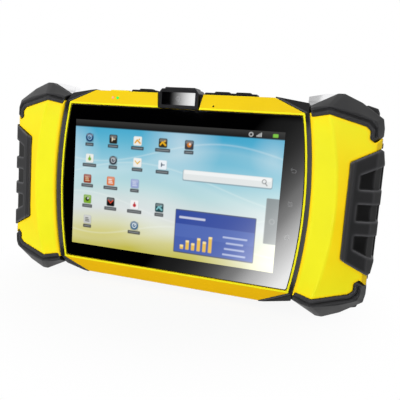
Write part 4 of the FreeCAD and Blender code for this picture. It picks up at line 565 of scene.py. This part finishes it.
mark_ink = finish("mark_ink", linear(80, 80, 82), 0.03, pits=60, depth=0.0005, IOR=1.8)
back_mark = [(-1.9, 0.9, 1.0, 0.9), (-1.9, 0.9, -0.9, 1.9), (-1.9, 0.9, -0.9, -0.1)]
back_mark += arc(1.0, -0.25, 1.15, 90, -90) + [(1.0, -1.4, -0.8, -1.4)]
list_mark = [(-1.6, level, 1.6, level) for level in (-1.5, -0.5, 0.5, 1.5)]
home_mark = [(-2.0, 0.1, 0.0, 1.9), (0.0, 1.9, 2.0, 0.1)]
home_mark += [(-1.3, 0.3, -1.3, -1.7), (1.3, 0.3, 1.3, -1.7), (-1.3, -1.7, 1.3, -1.7)]
for label, height, strokes in (
        ("back_mark", 21.6, back_mark), ("list_mark", 0.2, list_mark), ("home_mark", -21.1, home_mark)):
    placed = np.array(strokes) * MARK_SCALE + (MARK_X, height, MARK_X, height)
    fit(ink_strokes(label, placed), mark_ink, "unit")


# ---------------------------------------------------------------- yellow housing and grips
# The yellow front housing and port cover are mouldings with rounded edges. The two hollow grip shells,
# mirror images, are moulded with softer edges. All are of one plastic with a fine satin texture.

# painted light and shade: faces of this yellow that turn away from the front take a deeper, more orange
# colour, and bent edges a faint highlight from the edge setting in SATIN
YELLOW = (0.82, 0.78, 0.014, 1.0)
SATIN = {"pits": 2100, "depth": 0.012, "drift": 0.06, "edge": 0.08}
SIDES = {"right": 1, "left": -1}  # each side's direction along x
GLINT = 12.0  # how strongly a bend in the skin counts as an edge that gets a painted highlight
HOLLOW = 0.3  # the depth, in millimetres, at which the painted shade in a recess is darkest
HOLE_X, HOLE_RISE = 24.6, 0.4  # the microphone's hole: its rise is above the camera window's foot
HOLE_RADIUS = 0.75


def even_skin(node, label, cell):
    """A copy of a CAD node as one even skin of small square cells, cell millimetres wide."""
    piece = piece_of(label, merged(node, join_flat=False))
    skin = piece.modifiers.new("even_skin", "REMESH")
    skin.mode = "VOXEL"
    skin.voxel_size = cell * MM
    skin.use_smooth_shade = True
    coarse = piece.data
    piece.data = bpy.data.meshes.new_from_object(piece.evaluated_get(bpy.context.evaluated_depsgraph_get()))
    piece.modifiers.clear()
    bpy.data.meshes.remove(coarse)
    piece.data.name = label
    return piece


def points_of(mesh, what="co"):
    """The points of a mesh, or their normals, as one array."""
    values = np.empty(len(mesh.vertices) * 3)
    mesh.vertices.foreach_get(what, values)
    return values.reshape(-1, 3)


def ease(piece, passes, reach=200):
    """Ease the edges of an even skin: each pass moves every point half-way to the mean of its neighbours.
    Then three marks of painted light and shade are worked out. A point's height is how far it stands out of
    the same skin eased by reach more passes. The hollow mark, for painted shade, is the height below 0,
    over HOLLOW. The rounded mark, for a painted highlight on what stands out, is GLINT times the difference
    between a point's normal and its neighbours' mean normal. The sloped mark, for painted light or shade on
    faces that turn away from the front, is the share that slope_shading_share gives. All go up to 1 and are
    blurred a little."""
    mesh = piece.data
    links = np.empty(len(mesh.edges) * 2, int)
    mesh.edges.foreach_get("vertices", links)
    one, two = links.reshape(-1, 2).T
    count = len(mesh.vertices)
    valence = np.maximum(np.bincount(one, minlength=count) + np.bincount(two, minlength=count), 1)

    def beside(values):
        """The mean of each point's neighbours, column by column."""
        return np.stack([
            (np.bincount(one, column[two], count) + np.bincount(two, column[one], count)) / valence
            for column in values.T], 1)

    points = points_of(mesh)
    for _ in range(passes):
        points += (beside(points) - points) * 0.5
    mesh.vertices.foreach_set("co", points.ravel())
    mesh.update()
    normals = points_of(mesh, "normal")
    bend = np.linalg.norm(normals - beside(normals), axis=1)[:, None]
    for _ in range(2):
        bend = beside(bend)
    plain = points.copy()
    for _ in range(reach):
        plain += (beside(plain) - plain) * 0.5
    height = np.einsum("pa,pa->p", points - plain, normals) / MM
    marks = np.stack([
        np.clip(bend[:, 0] * GLINT, 0, 1) * (height > 0), np.clip(-height / HOLLOW, 0, 1),
        slope_shading_share(-normals[:, 1])], 1)
    for _ in range(3):
        marks = beside(marks)
    for name, values in zip(("edge_highlight", "hollow", "slope_shading"), marks.T):
        mark = mesh.attributes.get(name) or mesh.attributes.new(name, "FLOAT", "POINT")
        mark.data.foreach_set("value", np.ascontiguousarray(values))
    mesh.shade_smooth()
    return piece


# the colours given for sloping faces are painted shade, deeper and more orange than the yellow
yellow_plastic = finish(
    "yellow_plastic", YELLOW, 0.38, slope_shading_colour=(0.75, 0.335, 0.001, 1.0), Specular_IOR_Level=0.1, **SATIN)
grip_plastic = finish(
    "grip_plastic", YELLOW, 0.38, slope_shading_colour=(0.97, 0.66, 0.005, 1.0), Specular_IOR_Level=0.22, **SATIN)
for node in ("front_housing", "port_cover"):
    stand_in(rounded_copy(node, f"{node}_moulding", 0.18), node, yellow_plastic)
# painted shade: the walls of the microphone's hole take the dark inner plastic
hole_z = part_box("camera_window")[0][2] / MM + HOLE_RISE
housing = bpy.data.objects["front_housing_moulding"].data
housing.materials.append(inner_plastic)
for face in housing.polygons:
    x, y, z = face.center / MM
    is_wall = abs(face.normal.x) + abs(face.normal.z) > 0.9
    if is_wall and y < -5 and math.hypot(x - HOLE_X, z - hole_z) < HOLE_RADIUS:
        face.material_index = 1
for side in SIDES:
    node = f"grip_shell_{side}"
    stand_in(ease(even_skin(node, f"{node}_moulding", 0.52), 3, reach=0), node, grip_plastic)


# ---------------------------------------------------------------- rubber strips, pads and bumpers
# Soft rubber in dark grey, moulded on to the housing: the strip beside the glass with its corner patches,
# the pad round each grip and the four corner bumpers. The edges carry a painted highlight, and the recesses
# of pads and bumpers painted shade.

PATCH, PATCH_BLEND = 47, 6  # how far from the glass's middle the corner patches start, and their blend
PAD_HOLLOW = 0.9  # the depth under the pad's hull at which its painted shade is darkest
GROOVES = ((3.2, 1.4, 1.1), (0.0, 1.1, 1.0))  # each groove's distance from the grip shell, width and depth
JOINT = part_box("bumper_bottom_right")[0][0] / MM
FILLET = (JOINT - 1.6, JOINT + 1.4, -6.5, 0.0, 7.4, 12.5)


def seam_lines(bumper, shell):
    """The ends of the bumper's front edges that lie against the grip shell, as two arrays of points. Such
    an edge turns by 85 degrees or more beside a face that looks forward, within 0.9 mm of the shell."""
    found = []
    soft, hard = merged(bumper), merged(shell)
    touch = BVHTree.FromBMesh(hard)
    for edge in soft.edges:
        if math.degrees(edge.calc_face_angle(0.0)) < 85:
            continue
        forward = min(face.normal.y for face in edge.link_faces)
        start, end = edge.verts[0].co, edge.verts[1].co
        if forward < -0.9 and touch.find_nearest((start + end) / 2)[3] < 0.9 * MM:
            found.append((tuple(start), tuple(end)))
    hard.free()
    soft.free()
    found = np.array(found)
    return found[:, 0], found[:, 1]


def press_groove(piece, starts, ends, off, wide, deep):
    """Press a groove into the piece's front band, that far off a line. The depth at a distance d from the
    line is deep * (1 - smooth((|d - off| - wide / 2) / 0.35)), times a share that goes from 0 to 1 where
    the normal's forward part goes from 0.72 to 0.88; millimetres."""
    points, normals = points_of(piece.data), points_of(piece.data, "normal")
    run = ends - starts
    part = np.einsum("pa,sa->ps", points, run) - np.einsum("sa,sa->s", starts, run)
    part = np.clip(part / np.einsum("sa,sa->s", run, run), 0, 1)
    nearest = starts[None] + part[..., None] * run[None]
    distance = np.linalg.norm(points[:, None] - nearest, axis=2).min(1) / MM
    edge = np.clip((np.abs(distance - off) - wide / 2) / 0.35 + 0.5, 0, 1)
    depth = deep * (1 - edge * edge * (3 - 2 * edge)) * np.clip((-normals[:, 1] - 0.72) / 0.16, 0, 1)
    piece.data.vertices.foreach_set("co", (points - normals * depth[:, None] * MM).ravel())
    piece.data.update()


def depth_below_hull(mesh):
    """How far each point of the mesh lies under its convex hull, in millimetres."""
    hull = bmesh.new()
    for point in mesh.vertices:
        hull.verts.new(point.co)
    made = bmesh.ops.convex_hull(hull, input=hull.verts, use_existing_faces=False)
    bmesh.ops.delete(hull, geom=made["geom_interior"], context="VERTS")
    skin = BVHTree.FromBMesh(hull)
    depth = np.array([skin.find_nearest(point.co)[3] for point in mesh.vertices]) / MM
    hull.free()
    return depth


def blocks(label, direction, *boxes):
    """A piece of plain boxes, each (x0, x1, y0, y1, z0, z1) in millimetres, on the side whose direction is
    given."""
    points, faces = [], []
    for x0, x1, y0, y1, z0, z1 in boxes:
        start = len(points)
        points += [(direction * x, y, z) for x in (x0, x1) for y in (y0, y1) for z in (z0, z1)]
        for loop in ((0, 1, 3, 2), (4, 6, 7, 5), (0, 4, 5, 1), (2, 3, 7, 6), (0, 2, 6, 4), (1, 5, 7, 3)):
            faces.append([start + corner for corner in loop])
    return mesh_piece(label, points, faces)


# the colours given for sloping faces are painted light and shade: darker on the strip's corner patches,
# lighter on the pads; edge paints a highlight and the recess setting paints shade
strip_rubber = finish(
    "strip_rubber", linear(66, 66, 68), 0.5, pits=1900, drift=0.12, edge=0.5, slope_shading_colour=linear(34, 34, 35),
    Specular_IOR_Level=0.1)
pad_rubber = finish(
    "pad_rubber", linear(20, 20, 21), 0.5, pits=1900, depth=0.025, drift=0.15, edge=5.0, hollow=0.9,
    slope_shading_colour=linear(40, 40, 41), Specular_IOR_Level=0.22)
bumper_rubber = finish(
    "bumper_rubber", linear(30, 30, 31), 0.5, pits=1900, depth=0.025, drift=0.15, edge=2.0, hollow=0.8,
    Specular_IOR_Level=0.45)
for side in SIDES:
    node = f"overmould_{side}"
    strip = ease(even_skin(node, f"{node}_strip", 0.3), 6, reach=60)
    # the strip itself is the lighter rubber: only the corner patches take the painted shade of sloping
    # faces
    height = np.abs(points_of(strip.data)[:, 2] / MM - MIDDLE_Z)
    patch = np.clip((height - PATCH) / PATCH_BLEND, 0, 1)
    share = slope_shading_share(-points_of(strip.data, "normal")[:, 1]) * patch
    strip.data.attributes["slope_shading"].data.foreach_set("value", share)
    stand_in(strip, node, strip_rubber)
for side in SIDES:
    node = f"grip_pad_{side}"
    pad = ease(even_skin(node, f"{node}_rubber", 0.35), 3)
    # painted shade: the deeper a point lies under the pad's hull, the darker, most in the pad's windows
    share = np.clip(depth_below_hull(pad.data) / PAD_HOLLOW, 0, 1)
    pad.data.attributes["hollow"].data.foreach_set("value", share)
    stand_in(pad, node, pad_rubber)
for side in SIDES:
    for level in ("top", "bottom"):
        node = f"bumper_{level}_{side}"
        bumper = ease(even_skin(node, f"{node}_rubber", 0.36), 1, reach=0)
        seam = seam_lines(node, f"grip_shell_{side}")
        for groove in GROOVES:
            press_groove(bumper, *seam, *groove)
        stand_in(ease(bumper, 3), node, bumper_rubber)
# a small fillet of the same rubber closes the joint between each lower bumper and its corner patch
for side, direction in SIDES.items():
    node = f"bumper_bottom_{side}"
    fit(blocks(f"{node}_fillet", direction, FILLET), bumper_rubber, "unit")


# ---------------------------------------------------------------- camera pod, keys, lights
# The black plastic pod over the glass with its clear window, the black strips that hold the rubber keys,
# the two small light pipes, and the rear camera's window with its flash lens. All are moulded.

# edge paints a faint highlight on the bevelled edges of these mouldings
pod_plastic = finish(
    "pod_plastic", linear(26, 26, 28), 0.4, pits=1800, depth=0.012, edge=0.5, Specular_IOR_Level=0.3)
key_plastic = finish(
    "key_plastic", linear(20, 20, 22), 0.45, pits=1800, depth=0.012, edge=0.5, Specular_IOR_Level=0.2)
key_rubber = finish("key_rubber", linear(24, 24, 26), 0.5, pits=2000, edge=0.5, Specular_IOR_Level=0.2)
window_glass = finish("window_glass", linear(10, 10, 11), 0.03, pits=60, depth=0.0005, IOR=1.8)
flash_cover = finish("flash_cover", linear(222, 214, 176), 0.25, pits=1500)
green_light = finish(
    "green_light", linear(20, 140, 60), 0.2, pits=900, Emission_Color=linear(40, 235, 90),
    Emission_Strength=0.9)
amber_light = finish(
    "amber_light", linear(220, 150, 110), 0.2, pits=900, Emission_Color=linear(250, 170, 120),
    Emission_Strength=0.5)
stand_in(rounded_copy("camera_pod", "camera_pod_moulding", 0.3), "camera_pod", pod_plastic)
for node in ("key_strip_left", "key_strip_right"):
    stand_in(rounded_copy(node, f"{node}_moulding", 0.2), node, key_plastic)
for node in ("power_key", "volume_up_key", "volume_down_key"):
    stand_in(rounded_copy(node, f"{node}_cap", 0.15), node, key_rubber)
paint(window_glass, "camera_window", "rear_camera_window")
paint(flash_cover, "flash_lens")
paint(green_light, "power_light")
paint(amber_light, "charge_light")
paint(inner_plastic, "dock_connector")
paint(gold_plate, "dock_contacts")
# each camera's lens shows through its window as two faint rings, on the window's front or rear face
for label, lens, window, outside, radii in (
        ("lens_rings", "front_camera", "camera_window", 0, (1.5, 0.75)),
        ("rear_lens_rings", "rear_camera_window", "rear_camera_window", 1, (2.9, 1.6))):
    lens_x, _, lens_z = np.mean(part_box(lens), 0) / MM
    strokes = [stroke for radius in radii for stroke in arc(lens_x, lens_z - MIDDLE_Z, radius, 0, 360, 24)]
    rings = ink_strokes(label, strokes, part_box(window)[outside][1] / MM)
    fit(rings, mark_ink, body_of[window])


# ---------------------------------------------------------------- steel brackets
# Folded strap brackets of polished stainless sheet, in the recesses of the upper bumpers. Under each
# front plate is a tongue, and a thin wall closes the end of the slot for the strap.

end, front, foot = np.array(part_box("strap_bracket_right")[0]) / MM
TONGUE = (end, end + 6.5, front - 0.01, front + 0.45, foot - 1.4, foot + 0.4)
END_WALL = (end + 0.02, end + 0.32, front + 1.15, front + 5.75, foot + 0.02, foot + 2.7)

polished_steel = finish("polished_steel", linear(246, 246, 247), 0.06, pits=400, depth=0.004, Metallic=1.0)
paint(polished_steel, "port_hinge_pin")
for side in SIDES:
    node = f"strap_bracket_{side}"
    stand_in(rounded_copy(node, f"{node}_sheet", 0.15), node, polished_steel)
for side, direction in SIDES.items():
    node = f"strap_bracket_{side}"
    fit(blocks(f"{node}_trim", direction, TONGUE, END_WALL), polished_steel, "unit")


# ---------------------------------------------------------------- rear housing, door, screws
# The dark rear housing with its battery door, the two quarter-turn locks, the case screws and the brass
# inserts of the mounting pattern.

# edge paints a faint highlight on the bevelled edges
rear_plastic = finish("rear_plastic", linear(60, 60, 62), 0.5, pits=1700, depth=0.025, edge=0.2)
dark_steel = finish("dark_steel", linear(70, 70, 72), 0.35, pits=700, depth=0.006, Metallic=0.9)
turned_brass = finish("turned_brass", linear(206, 168, 92), 0.3, pits=700, depth=0.006, Metallic=1.0)
for node in ("rear_housing", "battery_door"):
    stand_in(rounded_copy(node, f"{node}_moulding", 0.25), node, rear_plastic)
paint(dark_steel, "door_lock_left", "door_lock_right", "case_screws", "side_screws")
paint(turned_brass, "threaded_inserts")


# ---------------------------------------------------------------- camera
# A camera in front of the part, a little to its right and above, and slightly rolled.

FOCUS = 1.2210885325  # the lens's focal length, over the width of its picture
SENSOR = 36.0
TURN, LIFT, ROLL, AWAY = 0.321727871, 0.133140718, 0.0695388969, 330.746942
AIM = np.array([19.8602362, GLASS_Y, MIDDLE_Z - 3.53995922])

backward = np.array([math.sin(TURN) * math.cos(LIFT), -math.cos(TURN) * math.cos(LIFT), math.sin(LIFT)])
sideways = np.cross(-backward, (0, 0, 1))
sideways /= np.linalg.norm(sideways)
upward = np.cross(sideways, -backward)
across = math.cos(ROLL) * sideways + math.sin(ROLL) * upward
rise = -math.sin(ROLL) * sideways + math.cos(ROLL) * upward
EYE = Vector(AIM + backward * AWAY)
camera = bpy.data.cameras.new("camera")
camera.sensor_width = SENSOR
camera.lens = FOCUS * SENSOR
camera.clip_start = 0.01
camera.clip_end = 50.0
holder = bpy.data.objects.new("camera", camera)
holder.matrix_world = Matrix.Translation(EYE * MM) @ Matrix((across, rise, backward)).transposed().to_4x4()
scene.collection.objects.link(holder)
scene.camera = holder
scene.view_settings.view_transform = "Standard"


# ---------------------------------------------------------------- floor
# A plain white floor. The object's shadow shows on it nearby, and further out it is pure white.

FAR, FLOOR_WHITE, FLOOR_GLOW, FLOOR_LIGHT = 6000, 0.86, 0.9, 0.08
SHADOW_FROM, SHADOW_TO = 0.06, 0.17  # where the shadow starts to fade and where it ends, in metres


def stage_card(label, corners, material):
    """A flat stage piece through four corners, in millimetres."""
    card = mesh_piece(label, corners, [(0, 1, 2, 3)])
    card.data.materials.append(material)
    return card


def stage_material(label):
    """A material for the stage, with an empty tree."""
    material = bpy.data.materials.new(label)
    material.use_nodes = True
    material.node_tree.nodes.clear()
    return material


def ranged(tree, value, low, high, start=0.0, end=1.0, shape="LINEAR"):
    """A value that goes from start to end while the one given goes from low to high."""
    return add_node(
        tree, "ShaderNodeMapRange",
        {"Value": value, "From Min": low, "From Max": high, "To Min": start, "To Max": end},
        interpolation_type=shape).outputs["Result"]


def full_where_seen(tree, lighting):
    """1 for rays from the camera, a glossy face or a clear one, and a lower strength for the rays that
    light the object."""
    path = add_node(tree, "ShaderNodeLightPath").outputs
    seen = reckon(tree, "MAXIMUM", path["Is Camera Ray"], path["Is Glossy Ray"])
    seen = reckon(tree, "MAXIMUM", seen, path["Is Transmission Ray"])
    return ranged(tree, seen, 0, 1, start=lighting)


def floor_material():
    """A plain white glow. Near the object a share of it is matt white, which shows the shadow."""
    material = stage_material("studio_floor")
    tree = material.node_tree
    place = add_node(tree, "ShaderNodeTexCoord").outputs["Object"]
    away = add_node(tree, "ShaderNodeVectorMath", {0: place}, operation="LENGTH").outputs["Value"]
    matt = add_node(tree, "ShaderNodeBsdfDiffuse", {"Color": (FLOOR_WHITE, FLOOR_WHITE, FLOOR_WHITE, 1)})
    glow = add_node(tree, "ShaderNodeEmission", {"Strength": full_where_seen(tree, FLOOR_LIGHT)})
    blend = add_node(tree, "ShaderNodeMixShader", {
        "Fac": ranged(tree, away, SHADOW_FROM, SHADOW_TO, start=FLOOR_GLOW, shape="SMOOTHSTEP"),
        1: matt.outputs[0], 2: glow.outputs[0]})
    add_node(tree, "ShaderNodeOutputMaterial", {"Surface": blend.outputs[0]})
    return material


floor = stage_card(
    "studio_floor", [(-FAR, -FAR, 0), (FAR, -FAR, 0), (FAR, FAR, 0), (-FAR, FAR, 0)], floor_material())
floor.visible_glossy = False


# ---------------------------------------------------------------- reflection card
# A card in front of the object that only its glass, windows and steel reflect. It is black, with a soft
# white glow that grows towards one side, and plain patches above that for the small windows and the steel.

CARD_Y, CARD_X, CARD_Z = -600.0, (-560, 2600), (-560, 520)
CARD_LEAN = (0.814, -0.581)  # the direction in which the glow grows
CARD_BRIGHT, WINDOW_BRIGHT, STEEL_BRIGHT = 10.6, 10.5, 0.55
# the glow's strength at distances along that direction, millimetres on the glass from its middle; past the
# glass's corner it ends
GLOW = (
    (25, 0.010), (36, 0.018), (48, 0.045), (58.5, 0.107), (63.5, 0.178), (68, 0.231), (72.4, 0.342),
    (78, 0.503), (81.7, 0.59), (86.4, 0.72), (91, 0.85), (95, 0.95), (100, 0.97), (112, 0.0), (122, 0.0))
GLOW_FROM, GLOW_TO = 20, 122.9  # the ramp's ends, along the glass's middle line


def ramp_value(x):
    """The card's value along CARD_LEAN where it is mirrored by the point x of the glass's middle line: the
    point plus its offset from the eye, times the card's distance from the glass over the eye's."""
    farther = (GLASS_Y - CARD_Y) / (GLASS_Y - EYE.y)
    card_x, card_z = x + farther * (x - EYE.x), MIDDLE_Z + farther * (MIDDLE_Z - EYE.z)
    return CARD_LEAN[0] * card_x + CARD_LEAN[1] * card_z


def reflection_card():
    """The card's material. The glow's strength is the ramp of how far a point lies along CARD_LEAN, faded
    out by smooth steps at its edges; each patch is a product of such steps along x and z."""
    material = stage_material("reflection_card")
    tree = material.node_tree
    place = add_node(tree, "ShaderNodeTexCoord").outputs["Object"]
    axis = add_node(tree, "ShaderNodeSeparateXYZ", {0: place}).outputs
    along = reckon(tree, "MULTIPLY", axis["Z"], CARD_LEAN[1] / MM)
    along = reckon(tree, "MULTIPLY_ADD", axis["X"], CARD_LEAN[0] / MM, along)
    share = ranged(tree, along, ramp_value(GLOW_FROM), ramp_value(GLOW_TO))
    ramp = add_node(tree, "ShaderNodeFloatCurve", {"Value": share})
    for reach, level in GLOW:
        spot = (reach / CARD_LEAN[0] - GLOW_FROM) / (GLOW_TO - GLOW_FROM)
        ramp.mapping.curves[0].points.new(spot, level)
    ramp.mapping.update()

    def step(name, none, full):
        """0 at none and 1 at full, millimetres along an axis, with a smooth step between."""
        low, high = min(none, full) * MM, max(none, full) * MM
        return ranged(tree, axis[name], low, high, float(full < none), float(full > none), "SMOOTHSTEP")

    def product(value, *others):
        """A value multiplied by the others."""
        for other in others:
            value = reckon(tree, "MULTIPLY", value, other)
        return value

    # the glow is no larger than the glass's mirror image, so that little of it falls on anything else
    glow = product(
        ramp.outputs[0], CARD_BRIGHT, step("X", 85, 55), step("Z", -195, -165), step("Z", 160, 142))
    # above it the card is grey for the front of the right bracket, and its ends are white, for the right
    # bracket's outer part and for the left bracket
    grey = reckon(tree, "MAXIMUM", step("X", -200, -160), step("X", -290, -330))
    ends = reckon(tree, "MAXIMUM", step("X", 31, 34), step("X", -400, -420))
    steel = reckon(tree, "MAXIMUM", product(grey, STEEL_BRIGHT), ends)
    steel = product(steel, step("Z", 164, 180))
    # in the gap between is a small glow that the camera window reflects
    window = product(
        step("X", -252, -200), step("X", -160, -190), step("Z", 160, 163), step("Z", 230, 180),
        WINDOW_BRIGHT)
    strength = reckon(tree, "ADD", glow, reckon(tree, "ADD", steel, window))
    light = add_node(tree, "ShaderNodeEmission", {"Strength": strength})
    add_node(tree, "ShaderNodeOutputMaterial", {"Surface": light.outputs[0]})
    return material


(left, right), (foot, top) = CARD_X, CARD_Z
card = stage_card(
    "reflection_card",
    [(left, CARD_Y, foot), (left, CARD_Y, top), (right, CARD_Y, top), (right, CARD_Y, foot)],
    reflection_card())
for ray in ("camera", "diffuse", "transmission", "shadow", "volume_scatter"):
    setattr(card, f"visible_{ray}", False)


# ---------------------------------------------------------------- sky and lamp
# A pale sky, darker overhead, that is white wherever it is seen, and one soft lamp in front.

SKY_LOW, SKY_HIGH = 0.44, 0.34
LAMP_PLACE, LAMP_AIM, LAMP_SIZE, LAMP_WATTS = Vector((-140, -905, 235)), Vector((0, 0, 70)), 420, 8.1

world = bpy.data.worlds.new("studio")
scene.world = world
world.use_nodes = True
tree = world.node_tree
direction = add_node(tree, "ShaderNodeTexCoord").outputs["Generated"]
height = add_node(tree, "ShaderNodeSeparateXYZ", {0: direction}).outputs["Z"]
sky_light = ranged(tree, height, 0, 1, start=SKY_LOW, end=SKY_HIGH)
fill(tree, tree.nodes["Background"], {
    "Color": (1, 1, 1, 1), "Strength": full_where_seen(tree, sky_light)})

light = bpy.data.lights.new("front_lamp", "AREA")
light.size = LAMP_SIZE * MM
light.energy = LAMP_WATTS
lamp = bpy.data.objects.new("front_lamp", light)
lamp.location = LAMP_PLACE * MM
lamp.rotation_euler = (LAMP_AIM - LAMP_PLACE).to_track_quat("-Z", "Y").to_euler()
lamp.visible_glossy = False
scene.collection.objects.link(lamp)
